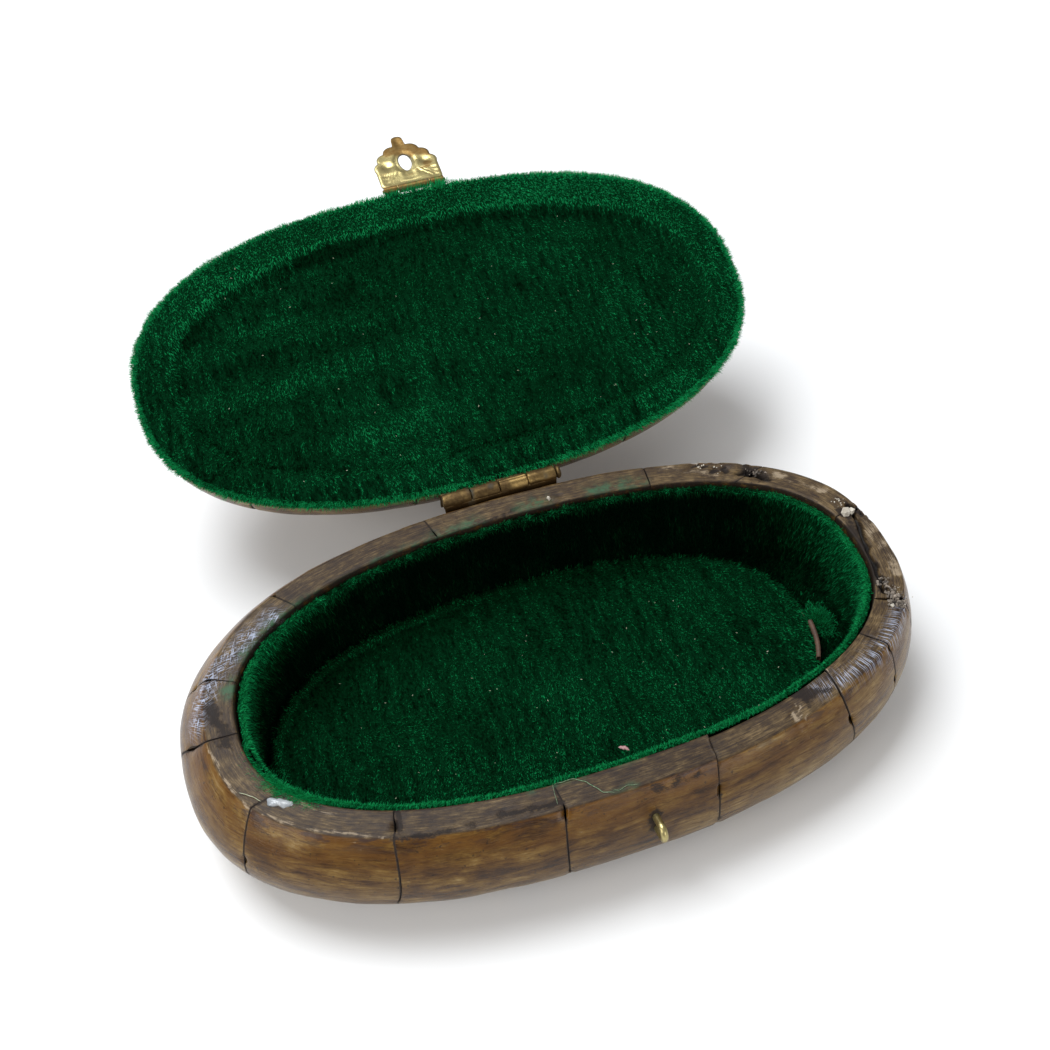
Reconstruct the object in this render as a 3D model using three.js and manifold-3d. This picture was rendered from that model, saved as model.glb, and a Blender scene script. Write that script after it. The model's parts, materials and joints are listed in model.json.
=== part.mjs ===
// An oval bone box with a hinged lid and a brass hasp, lined with velvet and shown open.
// Millimetres, +Z up. The origin is the centre of the base's underside, and the hinge is at +Y.

import * as THREE from 'three';
import { mergeVertices } from 'three/addons/utils/BufferGeometryUtils.js';
import Module from 'manifold-3d';

const wasm = await Module();
wasm.setup();

// Plan of the rim: an oval between an ellipse and a rectangle
const HALF_LENGTH = 75;
const HALF_WIDTH = 41.5;
const OVAL_POWER = 2.4;
const WALL = 6.1;

// Side view of the base
const BASE_HEIGHT = 27;
const BASE_BULGE = 5;
const BULGE_DEPTH = 12;
const FOOT_INSET = 3.5;
const BULGE_SHIFT = -2.4;
const LOW_RIM_DROP = 1.2;
const LOW_RIM_SEGMENT = 11;

// Lining of the base
const BOARD = 4;
const CLOTH = 1.2;
const CLOTH_BELOW_RIM = 0.4;
const STRIP_FOOT = 8.2;
const PAD = 3.2;
const PAD_LEFT_GAP = 2.3;
const PAD_RIGHT_GAP = 9.5;
const PAD_SIDE_GAP = 2.9;

// Lid
const OPEN_ANGLE = 158.9;
const PARTING = 0.4;
const EDGE_HEIGHT = 10;
const EDGE_ROUNDING = 3.6;
const EDGE_CREST = 1.2;
const CROWN_PLATE = 3;
const CROWN_RISE = 3.4;
const MIDDLE_PLATE = 30;
const END_PLATE = 24.6;
const RECESS_DEPTH = 3.2;
const RECESS_SLOPE = 2;

// Hinge
const HINGE_X = -0.6;
const HINGE_LENGTH = 27;
const KNUCKLES = 4;
const AXIS_OUT = 3;
const AXIS_UP = 0.2;
const BARREL_R = 1.7;
const PIN_R = 0.8;
const PIN_HEAD_R = 1.5;
const LEAF = 0.8;
const BASE_LEAF_DROP = 9;
const LID_LEAF_RISE = 6.2;

// Hasp and staple
const HASP_X = 3.8;
const HASP_WIDTH = 16.6;
const HASP_AXIS_OUT = 1.9;
const HASP_AXIS_UP = 1.5;
const HASP_BARREL_R = 1;
const HASP_PIN_R = 0.45;
const HASP_SHEET = 0.6;
const HASP_PLATE_RISE = 6.4;
const HASP_MIDDLE = 8;
const HASP_OPEN = 11;
const FLAP_LENGTH = 19.3;
const NUB_R = 1.6;
const SLOT_AT = 9.4;
const SLOT_WIDTH = 3.2;
const SLOT_HEIGHT = 5.6;
const CLOSED_LEAN = 20;
const WIRE_R = 0.65;
const STAPLE_SPAN = 2.9;
const STAPLE_PAST = 3.2;
const STAPLE_ROOT = 3;

// Nails
const NAIL_R = 0.6;
const NAIL_HEAD_R = 1.15;
const NAIL_HEAD = 0.6;
const NAIL_LENGTH = 4.2;
const NAIL_FROM_END = 4.1;
const HASP_NAIL_FROM_END = 3.3;

// Clearances
const FIT = 0.3;
const JOINT_GAP = 0.36;
const TURN = 0.12;
const NAIL_GAP = 0.15;

// Butt joints of the bone segments, in degrees round the oval from +X towards +Y:
// where each joint meets the outer edge of the rim, and where it meets the inner edge
const JOINTS = [
  [10, 10.5], [41, 45.5], [68, 66], [101.5, 101.5], [135, 135.5], [165, 166.5], [181.5, 182],
  [206, 207.5], [236, 235], [262.5, 262], [280.5, 282], [305, 309], [322.5, 323.5], [338.5, 338],
];
const STEP_ANGLE = 7.5;
const ROUND = 16;

// Levels worked out from the sizes above
const LID_FACE_Z = BASE_HEIGHT + PARTING;
const LID_RIM_Z = LID_FACE_Z + CLOTH + FIT;
const AXIS_Y = HALF_WIDTH + AXIS_OUT;
const AXIS_Z = BASE_HEIGHT + AXIS_UP;
const HASP_AXIS_Y = -(HALF_WIDTH + HASP_AXIS_OUT);
const HASP_AXIS_Z = BASE_HEIGHT + HASP_AXIS_UP;
const BASE_SEAT_Y = AXIS_Y - BARREL_R - FIT;
const LID_SEAT_Y = HALF_WIDTH - FIT;
const PLATE_SEAT_Y = -(HALF_WIDTH - HASP_SHEET - FIT);
const LID_NAIL_Z = LID_RIM_Z + LID_LEAF_RISE * 0.55;
const BASE_NAIL_Z = AXIS_Z - BASE_LEAF_DROP * 0.7;
const PLATE_NAIL_Z = LID_RIM_Z + HASP_PLATE_RISE * 0.55;

const LINED = WALL + FIT + CLOTH;
const PAD_HALF_LENGTH = HALF_LENGTH - LINED - (PAD_LEFT_GAP + PAD_RIGHT_GAP) / 2;
const PAD_HALF_WIDTH = HALF_WIDTH - LINED - PAD_SIDE_GAP;
const PAD_SHIFT = (PAD_LEFT_GAP - PAD_RIGHT_GAP) / 2;
const END_CUT = HALF_LENGTH - WALL - FIT - END_PLATE;
const CROWN_CUTS = [-END_CUT, -MIDDLE_PLATE / 2, MIDDLE_PLATE / 2, END_CUT];
const NAIL_PITCH = HINGE_LENGTH / 2 - NAIL_FROM_END;
const HASP_NAIL_PITCH = HASP_WIDTH - 2 * HASP_NAIL_FROM_END;

const rad = THREE.MathUtils.degToRad;
const lerp = THREE.MathUtils.lerp;
const clamp = THREE.MathUtils.clamp;

// Materials

function finish(color, roughness, metalness = 0) {
  return new THREE.MeshStandardMaterial({ color, roughness, metalness });
}
const bone = finish(0x8a6238, 0.35);
const velvet = finish(0x0c4a24, 0.95);
const wood = finish(0x7a5a38, 0.7);
const hingeBrass = finish(0x7d6534, 0.45, 0.9);
const haspBrass = finish(0xb89a4a, 0.35, 0.9);

// Booleans

function toSolid(geometry) {
  const bare = geometry.clone();
  bare.deleteAttribute('normal');
  bare.deleteAttribute('uv');
  const merged = mergeVertices(bare, 1e-5);
  return new wasm.Manifold(new wasm.Mesh({
    numProp: 3,
    vertProperties: new Float32Array(merged.attributes.position.array),
    triVerts: new Uint32Array(merged.index.array),
  }));
}

function toGeometry(solid) {
  const mesh = solid.getMesh();
  const geometry = new THREE.BufferGeometry();
  geometry.setAttribute('position', new THREE.BufferAttribute(mesh.vertProperties, 3));
  geometry.setIndex(new THREE.BufferAttribute(mesh.triVerts, 1));
  return geometry;
}

function join(geometries) {
  return toGeometry(geometries.map(toSolid).reduce((a, b) => a.add(b)));
}

function cut(geometry, cutters) {
  return toGeometry(cutters.map(toSolid).reduce((a, b) => a.subtract(b), toSolid(geometry)));
}

function common(a, b) {
  return toGeometry(toSolid(a).intersect(toSolid(b)));
}

// A box from its lowest to its highest corner
function block(low, high) {
  const size = high.map((v, i) => v - low[i]);
  const middle = high.map((v, i) => (v + low[i]) / 2);
  return new THREE.BoxGeometry(...size).translate(...middle);
}

// A cylinder along X from x0 to x1, centred on y, z
function rodX(r, x0, x1, y, z, sides = ROUND) {
  return new THREE.CylinderGeometry(r, r, x1 - x0, sides)
    .rotateZ(Math.PI / 2).translate((x0 + x1) / 2, y, z);
}

// A cylinder along Y from y0 to y1, centred on x, z
function rodY(r, y0, y1, x, z, sides = 10) {
  return new THREE.CylinderGeometry(r, r, y1 - y0, sides).translate(x, (y0 + y1) / 2, z);
}

// The oval

function ovalPoint(bearing, offset, halfLength = HALF_LENGTH, halfWidth = HALF_WIDTH) {
  const c = Math.cos(bearing);
  const s = Math.sin(bearing);
  const x = (halfLength + offset) * Math.sign(c) * Math.abs(c) ** (2 / OVAL_POWER);
  const y = (halfWidth + offset) * Math.sign(s) * Math.abs(s) ** (2 / OVAL_POWER);
  return [x, y];
}

// A closed skin over a row of sections, each a loop of the same number of points.
// An open row gets flat ends; a row that closes on itself has none.
function skin(sections, closed, outline) {
  const loop = sections[0].length;
  const index = [];
  const rows = closed ? sections.length : sections.length - 1;
  for (let i = 0; i < rows; i++) {
    const next = ((i + 1) % sections.length) * loop;
    for (let k = 0; k < loop; k++) {
      const l = (k + 1) % loop;
      index.push(i * loop + k, next + k, next + l, i * loop + k, next + l, i * loop + l);
    }
  }
  if (!closed) {
    const last = (sections.length - 1) * loop;
    for (const [a, b, c] of THREE.ShapeUtils.triangulateShape(outline, [])) {
      index.push(c, b, a, last + a, last + b, last + c);
    }
  }
  const geometry = new THREE.BufferGeometry();
  geometry.setAttribute('position', new THREE.Float32BufferAttribute(sections.flat(2), 3));
  geometry.setIndex(index);
  return outward(geometry);
}

// Turns the faces out where the volume comes out negative
function outward(geometry) {
  const p = geometry.attributes.position;
  const index = geometry.index.array;
  const [a, b, c] = [new THREE.Vector3(), new THREE.Vector3(), new THREE.Vector3()];
  let volume = 0;
  for (let i = 0; i < index.length; i += 3) {
    a.fromBufferAttribute(p, index[i]);
    b.fromBufferAttribute(p, index[i + 1]);
    c.fromBufferAttribute(p, index[i + 2]);
    volume += a.dot(b.cross(c));
  }
  if (volume < 0) geometry.setIndex(Array.from(index).reverse());
  return geometry;
}

// Bearing of a joint at an offset from the rim's outer edge, and half its gap as an angle
function jointBearing([outer, inner], offset) {
  return rad(lerp(outer, inner, clamp(-offset / WALL, 0, 1)));
}

function halfGap([outer]) {
  const [x0, y0] = ovalPoint(rad(outer) - 0.01, 0);
  const [x1, y1] = ovalPoint(rad(outer) + 0.01, 0);
  return JOINT_GAP / 2 / Math.hypot(x1 - x0, y1 - y0) * 0.02;
}

// One segment between two joints. The profile is a loop of [offset, height, shift] points
// for a place t along the segment, from 0 to 1.
function segment(number, profileAt) {
  const from = JOINTS[number - 1];
  const to = JOINTS[number % JOINTS.length];
  const turn = to[0] > from[0] ? 0 : 360;
  const end = [to[0] + turn, to[1] + turn];
  const steps = Math.max(2, Math.round((end[0] - from[0]) / STEP_ANGLE));
  const sections = [];
  for (let i = 0; i <= steps; i++) {
    const t = i / steps;
    sections.push(profileAt(t).map(([offset, z, shift]) => {
      const start = jointBearing(from, offset) + halfGap(from);
      const stop = jointBearing(end, offset) - halfGap(to);
      const [x, y] = ovalPoint(lerp(start, stop, t), offset);
      return [x + shift, y, z];
    }));
  }
  const outline = profileAt(0).map(([offset, z]) => new THREE.Vector2(offset, z));
  return skin(sections, false, outline);
}

// A closed ring or disc: rings of the oval, each [offset, height]
function ovalRings(rings, bearings, centre = []) {
  const sections = bearings.map((bearing) => rings.map(([offset, z]) => {
    const [x, y] = ovalPoint(bearing, offset);
    return [x, y, z];
  }));
  if (centre.length === 0) return skin(sections, true);
  const count = bearings.length;
  const loop = rings.length;
  const index = [];
  for (let i = 0; i < count; i++) {
    const next = ((i + 1) % count) * loop;
    for (let k = 0; k < loop - 1; k++) {
      index.push(i * loop + k, next + k, next + k + 1, i * loop + k, next + k + 1, i * loop + k + 1);
    }
    index.push(count * loop, next, i * loop);
    index.push(count * loop + 1, i * loop + loop - 1, next + loop - 1);
  }
  const points = sections.flat(2).concat(0, 0, centre[0], 0, 0, centre[1]);
  const geometry = new THREE.BufferGeometry();
  geometry.setAttribute('position', new THREE.Float32BufferAttribute(points, 3));
  geometry.setIndex(index);
  return outward(geometry);
}

function bearingsRound(count) {
  return Array.from({ length: count }, (_, i) => (i + 0.5) / count * 2 * Math.PI);
}

// Base

// How far the wall stands out past the rim, at a depth below it
function wallOffset(depth) {
  if (depth < BULGE_DEPTH) return BASE_BULGE * (1 - (1 - depth / BULGE_DEPTH) ** 2);
  const below = (depth - BULGE_DEPTH) / (BASE_HEIGHT - BULGE_DEPTH);
  return BASE_BULGE - (BASE_BULGE + FOOT_INSET) * below ** 2;
}

function wallShift(depth) {
  const offset = wallOffset(depth);
  if (depth < BULGE_DEPTH) return BULGE_SHIFT * offset / BASE_BULGE;
  return BULGE_SHIFT * (offset + FOOT_INSET) / (BASE_BULGE + FOOT_INSET);
}

function wallSegment(number) {
  const drop = number === LOW_RIM_SEGMENT ? LOW_RIM_DROP : 0;
  return segment(number, (t) => {
    const low = drop * (1 - 0.75 * t);
    const profile = [[-WALL, 0, 0], [-WALL, BASE_HEIGHT - low, 0]];
    for (const share of [0, 0.1, 0.22, 0.4, 0.58, 0.74, 0.88, 1]) {
      const depth = lerp(low, BASE_HEIGHT, share);
      profile.push([wallOffset(depth), BASE_HEIGHT - depth, wallShift(depth)]);
    }
    return profile;
  });
}

function drillsFor(z, pitch, count, x, y0, y1) {
  const drills = [];
  for (let i = 0; i < count; i++) {
    drills.push(rodY(NAIL_R + FIT, y0, y1, x + (i - (count - 1) / 2) * pitch, z));
  }
  return drills;
}

const HINGE_SEGMENT = 3;
const HASP_SEGMENT = 10;
const SEAT_END = HINGE_LENGTH / 2 + 1;
const SEAT_FAR = 1.5 * HALF_WIDTH;

function baseHingeSegment() {
  const seat = block([HINGE_X - SEAT_END, BASE_SEAT_Y, AXIS_Z - BASE_LEAF_DROP - 1],
    [HINGE_X + SEAT_END, SEAT_FAR, BASE_HEIGHT + 1]);
  const drills = drillsFor(BASE_NAIL_Z, NAIL_PITCH, 3, HINGE_X,
    BASE_SEAT_Y - NAIL_LENGTH - FIT, SEAT_FAR);
  return cut(wallSegment(HINGE_SEGMENT), [seat, ...drills]);
}

// Where the slot's centre comes to when lid and hasp are closed
const leanY = -Math.sin(rad(CLOSED_LEAN));
const leanZ = -Math.cos(rad(CLOSED_LEAN));
const STAPLE_Y = HASP_AXIS_Y + SLOT_AT * leanY;
const STAPLE_Z = HASP_AXIS_Z + SLOT_AT * leanZ;

// The staple's wire: a U in the plane across the flap, driven into the wall.
// The path is measured from the slot's centre, out along the flap's normal and up along the flap.
function stapleWire(r, sides) {
  const half = STAPLE_SPAN / 2;
  const bend = half * 4 / 3;
  const wallGap = -STAPLE_Y - HALF_WIDTH - wallOffset(BASE_HEIGHT - STAPLE_Z);
  const into = -STAPLE_ROOT - wallGap;
  const out = STAPLE_PAST - half;
  const path = new THREE.CurvePath();
  const at = (across, along) => new THREE.Vector3(0,
    STAPLE_Y + across * leanZ + along * leanY, STAPLE_Z - across * leanY + along * leanZ);
  path.add(new THREE.LineCurve3(at(into, -half), at(out, -half)));
  path.add(new THREE.CubicBezierCurve3(at(out, -half), at(out + bend, -half),
    at(out + bend, half), at(out, half)));
  path.add(new THREE.LineCurve3(at(out, half), at(into, half)));
  const circle = new THREE.Shape().absarc(0, 0, r, 0, 2 * Math.PI);
  const wire = new THREE.ExtrudeGeometry(circle,
    { steps: 22, curveSegments: sides, bevelEnabled: false, extrudePath: path });
  return wire.translate(HASP_X, 0, 0);
}

function stapleSegment() {
  return cut(wallSegment(HASP_SEGMENT), [stapleWire(WIRE_R + FIT, 8)]);
}

function wallLining() {
  const outer = -WALL - FIT;
  const inner = outer - CLOTH;
  const top = BASE_HEIGHT - CLOTH_BELOW_RIM;
  return ovalRings([[outer, STRIP_FOOT], [outer, top], [inner, top], [inner, STRIP_FOOT]],
    bearingsRound(48));
}

function floorBoard() {
  const edge = -WALL - FIT;
  return ovalRings([[edge, 0], [edge, BOARD]], bearingsRound(44), [0, BOARD]);
}

function floorPad() {
  const low = BOARD + FIT;
  const shape = new THREE.Shape(bearingsRound(44).map((bearing) => {
    const [x, y] = ovalPoint(bearing, 0, PAD_HALF_LENGTH, PAD_HALF_WIDTH);
    return new THREE.Vector2(x + PAD_SHIFT, y);
  }));
  return new THREE.ExtrudeGeometry(shape, { depth: PAD, bevelEnabled: false }).translate(0, 0, low);
}

// Lid, in its closed place

// How far the lid's edge stands in from the rim, at a height above it. It stays
// upright at first, with a slight crest, and then rounds over to the crown.
function edgeOffset(height) {
  const share = height / EDGE_HEIGHT;
  return -EDGE_ROUNDING * share ** 3;
}

function lidEdgeSegment(number) {
  const top = LID_RIM_Z + EDGE_HEIGHT + EDGE_CREST;
  return segment(number, () => {
    const profile = [[-WALL, LID_RIM_Z, 0], [-WALL, top, 0]];
    for (const share of [1, 0.9, 0.75, 0.55, 0.3, 0]) {
      profile.push([edgeOffset(share * EDGE_HEIGHT), LID_RIM_Z + share * EDGE_HEIGHT, 0]);
    }
    return profile;
  });
}

function lidHingeSegment() {
  const seat = block([HINGE_X - SEAT_END, LID_SEAT_Y, LID_RIM_Z - 1],
    [HINGE_X + SEAT_END, SEAT_FAR, LID_RIM_Z + LID_LEAF_RISE + 1]);
  const drills = drillsFor(LID_NAIL_Z, NAIL_PITCH, 3, HINGE_X,
    LID_SEAT_Y - NAIL_LENGTH - FIT, SEAT_FAR);
  return cut(lidEdgeSegment(HINGE_SEGMENT), [seat, ...drills]);
}

function lidHaspSegment() {
  const half = HASP_WIDTH / 2 + 1;
  const seat = block([HASP_X - half, -SEAT_FAR, LID_RIM_Z - 1],
    [HASP_X + half, PLATE_SEAT_Y, LID_RIM_Z + HASP_PLATE_RISE + 1]);
  const drills = drillsFor(PLATE_NAIL_Z, HASP_NAIL_PITCH, 2, HASP_X,
    -SEAT_FAR, PLATE_SEAT_Y + NAIL_LENGTH + FIT);
  return cut(lidEdgeSegment(HASP_SEGMENT), [seat, ...drills]);
}

// The whole crown, a shallow dome of even thickness, before it is sawn into plates
function crownDome() {
  const edge = -WALL - FIT;
  const top = LID_RIM_Z + EDGE_HEIGHT + EDGE_CREST;
  const rise = (share) => CROWN_RISE * (1 - (1 - share) ** 2);
  const rings = [];
  for (const share of [0.7, 0.35, 0.12, 0]) {
    rings.push([edge - share * HALF_WIDTH, top + rise(share) - CROWN_PLATE]);
  }
  for (const share of [0, 0.12, 0.35, 0.7]) {
    rings.push([edge - share * HALF_WIDTH, top + rise(share)]);
  }
  const centre = top + CROWN_RISE;
  return ovalRings(rings, bearingsRound(36), [centre - CROWN_PLATE, centre]);
}

function crownPlates() {
  const dome = crownDome();
  const far = HALF_LENGTH + 20;
  const cuts = [-far, ...CROWN_CUTS, far];
  return cuts.slice(1).map((right, i) => {
    const low = [cuts[i] + JOINT_GAP / 2, -far, 0];
    return common(dome, block(low, [right - JOINT_GAP / 2, far, 2 * far]));
  });
}

// Velvet over the lid's rim and down into the recess, one piece
function lidLining() {
  const rim = -WALL - FIT - CLOTH;
  const floor = rim - RECESS_SLOPE;
  const low = LID_FACE_Z;
  const rings = [
    [floor, low + RECESS_DEPTH], [rim, low], [-FIT, low], [-FIT, low + CLOTH],
    [rim + CLOTH, low + CLOTH], [floor + CLOTH * 0.5, low + RECESS_DEPTH + CLOTH],
  ];
  return ovalRings(rings, bearingsRound(48), [low + RECESS_DEPTH, low + RECESS_DEPTH + CLOTH]);
}

// Hinge

const KNUCKLE = HINGE_LENGTH / KNUCKLES;
const HINGE_LEFT = HINGE_X - HINGE_LENGTH / 2;

function knuckleSpans(first) {
  const spans = [];
  for (let i = first; i < KNUCKLES; i += 2) {
    const left = HINGE_LEFT + i * KNUCKLE + (i > 0 ? TURN : 0);
    const right = HINGE_LEFT + (i + 1) * KNUCKLE - (i < KNUCKLES - 1 ? TURN : 0);
    spans.push([left, right]);
  }
  return spans;
}

// A plate, with a web and a barrel at each of its own knuckles, bored for the pin,
// with room turned away round the other leaf's knuckles
function leaf(plate, webs, spans, others, drills, axisY, axisZ, barrelR, pinR) {
  const barrels = spans.map(([x0, x1]) => rodX(barrelR, x0, x1, axisY, axisZ));
  const body = join([plate, ...webs, ...barrels]);
  const room = others.map(([x0, x1]) =>
    rodX(barrelR + FIT, x0 - 2 * TURN, x1 + 2 * TURN, axisY, axisZ));
  const bore = rodX(pinR + TURN, spans[0][0] - HALF_LENGTH, spans[0][0] + HALF_LENGTH, axisY, axisZ);
  return cut(body, [...room, bore, ...drills]);
}

function hingeBaseLeaf() {
  const inner = BASE_SEAT_Y + FIT;
  const plate = block([HINGE_LEFT, inner, AXIS_Z - BASE_LEAF_DROP],
    [HINGE_LEFT + HINGE_LENGTH, inner + LEAF, AXIS_Z]);
  const drills = drillsFor(BASE_NAIL_Z, NAIL_PITCH, 3, HINGE_X, inner - 1, inner + LEAF + 1);
  return leaf(plate, [], knuckleSpans(1), knuckleSpans(0), drills, AXIS_Y, AXIS_Z, BARREL_R, PIN_R);
}

// The lid's leaf is cranked: it leaves the top of the barrel and steps in to the lid's edge
function hingeLidLeaf() {
  const inner = LID_SEAT_Y + FIT;
  const top = AXIS_Z + BARREL_R;
  const plate = block([HINGE_LEFT, inner, top - LEAF],
    [HINGE_LEFT + HINGE_LENGTH, inner + LEAF, LID_RIM_Z + LID_LEAF_RISE]);
  const webs = knuckleSpans(0).map(([x0, x1]) =>
    block([x0, inner, top - LEAF], [x1, AXIS_Y, top]));
  const drills = drillsFor(LID_NAIL_Z, NAIL_PITCH, 3, HINGE_X, inner - 1, inner + LEAF + 1);
  return leaf(plate, webs, knuckleSpans(0), knuckleSpans(1), drills,
    AXIS_Y, AXIS_Z, BARREL_R, PIN_R);
}

function hingePin() {
  const right = HINGE_LEFT + HINGE_LENGTH + FIT;
  const dome = [[0, 0], [PIN_HEAD_R, 0], [PIN_HEAD_R, 0.4], [PIN_HEAD_R * 0.7, 1.1], [0, 1.4]];
  const head = new THREE.LatheGeometry(dome.map(([r, h]) => new THREE.Vector2(r, h)), ROUND)
    .rotateZ(-Math.PI / 2).translate(right, AXIS_Y, AXIS_Z);
  return join([rodX(PIN_R, HINGE_LEFT, right + 0.1, AXIS_Y, AXIS_Z), head]);
}

// Hasp, in its closed-lid place

const HASP_LEFT = HASP_X - HASP_WIDTH / 2;
const HASP_RIGHT = HASP_X + HASP_WIDTH / 2;
const MIDDLE_SPAN = [HASP_X - HASP_MIDDLE / 2, HASP_X + HASP_MIDDLE / 2];
const SIDE_SPANS = [[HASP_LEFT, MIDDLE_SPAN[0] - TURN], [MIDDLE_SPAN[1] + TURN, HASP_RIGHT]];

function haspPlate() {
  const inner = PLATE_SEAT_Y - FIT;
  const outer = inner - HASP_SHEET;
  const top = HASP_AXIS_Z + HASP_BARREL_R;
  const plate = block([HASP_LEFT, outer, top - HASP_SHEET],
    [HASP_RIGHT, inner, LID_RIM_Z + HASP_PLATE_RISE]);
  const webs = SIDE_SPANS.map(([x0, x1]) =>
    block([x0, HASP_AXIS_Y, top - HASP_SHEET], [x1, inner, top]));
  const drills = drillsFor(PLATE_NAIL_Z, HASP_NAIL_PITCH, 2, HASP_X, outer - 1, inner + 1);
  return leaf(plate, webs, SIDE_SPANS, [MIDDLE_SPAN], drills,
    HASP_AXIS_Y, HASP_AXIS_Z, HASP_BARREL_R, HASP_PIN_R);
}

// The flap is made lying along -Y from its pin: a sheet with three scallops a side and a
// thumb nub, pierced by the slot
function haspFlap() {
  const half = HASP_WIDTH / 2;
  const sheet = HASP_SHEET / 2;
  const drum = (r, x, along, thick = HASP_SHEET) => new THREE.CylinderGeometry(r, r, thick, 20)
    .rotateX(Math.PI / 2).translate(x, -along, 0);
  const lobes = [[2.4, half - 2.2, 7.6], [2.5, half - 3.9, 10.8], [2.6, half - 6.1, 13.2]];
  const parts = [
    block([-half, -7.8, -sheet], [half, 0, sheet]), drum(6, 0, 9),
    block([-NUB_R, -FLAP_LENGTH + NUB_R, -sheet], [NUB_R, -12, sheet]),
    drum(NUB_R, 0, FLAP_LENGTH - NUB_R),
  ];
  for (const [r, x, along] of lobes) parts.push(drum(r, x, along), drum(r, -x, along));
  const slot = drum(1, 0, 0, 4).scale(SLOT_WIDTH / 2, SLOT_HEIGHT / 2, 1).translate(0, -SLOT_AT, 0);
  const middle = MIDDLE_SPAN.map((x) => x - HASP_X);
  const sides = SIDE_SPANS.map((span) => span.map((x) => x - HASP_X));
  return leaf(join(parts), [], [middle], sides, [slot], 0, 0, HASP_BARREL_R, HASP_PIN_R)
    .translate(HASP_X, 0, 0);
}

// Nails, made pointing along -Y with the underside of the head at the plate's face

function nail(facing, x, y, z) {
  const under = NAIL_GAP;
  const profile = [
    [0, -NAIL_LENGTH], [NAIL_R * 0.6, -NAIL_LENGTH], [NAIL_R, -NAIL_LENGTH + 1], [NAIL_R, under],
    [NAIL_HEAD_R, under], [NAIL_HEAD_R * 0.75, under + NAIL_HEAD * 0.7], [0, under + NAIL_HEAD],
  ];
  const points = profile.map(([r, h]) => new THREE.Vector2(r, h));
  const geometry = new THREE.LatheGeometry(points, 8);
  if (facing < 0) geometry.rotateX(Math.PI);
  return geometry.translate(x, y, z);
}

// Assembly

const box = new THREE.Group();
const lidPivot = new THREE.Group();
lidPivot.position.set(0, AXIS_Y, AXIS_Z);
lidPivot.rotation.x = -rad(OPEN_ANGLE);
const lid = new THREE.Group();
lid.position.set(0, -AXIS_Y, -AXIS_Z);
const flapPivot = new THREE.Group();
flapPivot.position.set(0, HASP_AXIS_Y, HASP_AXIS_Z);
flapPivot.rotation.x = -rad(HASP_OPEN);
box.add(lidPivot);
lidPivot.add(lid);
lid.add(flapPivot);

function place(group, name, geometry, material) {
  const mesh = new THREE.Mesh(geometry, material);
  mesh.name = name;
  group.add(mesh);
}

const two = (number) => String(number).padStart(2, '0');

for (let number = 1; number <= JOINTS.length; number++) {
  let geometry = wallSegment(number);
  if (number === HINGE_SEGMENT) geometry = baseHingeSegment();
  if (number === HASP_SEGMENT) geometry = stapleSegment();
  place(box, `wall_${two(number)}`, geometry, bone);
}
place(box, 'floor_board', floorBoard(), wood);
place(box, 'wall_lining', wallLining(), velvet);
place(box, 'floor_pad', floorPad(), velvet);
place(box, 'staple', stapleWire(WIRE_R, 8), haspBrass);
place(box, 'hinge_base_leaf', hingeBaseLeaf(), hingeBrass);
place(box, 'hinge_pin', hingePin(), hingeBrass);

for (let number = 1; number <= JOINTS.length; number++) {
  let geometry = lidEdgeSegment(number);
  if (number === HINGE_SEGMENT) geometry = lidHingeSegment();
  if (number === HASP_SEGMENT) geometry = lidHaspSegment();
  place(lid, `lid_edge_${two(number)}`, geometry, bone);
}
crownPlates().forEach((plate, i) => place(lid, `crown_${i + 1}`, plate, bone));
place(lid, 'lid_lining', lidLining(), velvet);
place(lid, 'hinge_lid_leaf', hingeLidLeaf(), hingeBrass);
place(lid, 'hasp_plate', haspPlate(), haspBrass);
place(lid, 'hasp_pin', rodX(HASP_PIN_R, HASP_LEFT - FIT, HASP_RIGHT + FIT, HASP_AXIS_Y, HASP_AXIS_Z),
  haspBrass);
place(flapPivot, 'hasp_flap', haspFlap(), haspBrass);

for (let i = 0; i < 3; i++) {
  const x = HINGE_X + (i - 1) * NAIL_PITCH;
  const baseFace = BASE_SEAT_Y + FIT + LEAF;
  const lidFace = LID_SEAT_Y + FIT + LEAF;
  place(box, `nail_base_${i + 1}`, nail(1, x, baseFace, BASE_NAIL_Z), hingeBrass);
  place(lid, `nail_lid_${i + 1}`, nail(1, x, lidFace, LID_NAIL_Z), hingeBrass);
}
for (let i = 0; i < 2; i++) {
  const x = HASP_X + (i - 0.5) * HASP_NAIL_PITCH;
  const face = PLATE_SEAT_Y - FIT - HASP_SHEET;
  place(lid, `nail_hasp_${i + 1}`, nail(-1, x, face, PLATE_NAIL_Z), haspBrass);
}

export default box;
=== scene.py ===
# %% [markdown]
# # A bone box with a velvet lining, standing open
# This notebook dresses a small oval box. Its wall is fourteen pieces of cow bone, butted end to end
# round the oval and polished, with a domed lid on a brass hinge and a stamped hasp. The hinge axis,
# the lid's opening and the floor pad's size come from the imported frame. Every surface here is
# worked out from a formula, so that the shape of each piece can be read in its function.

# %% Load the frame
import json
import math

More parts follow.
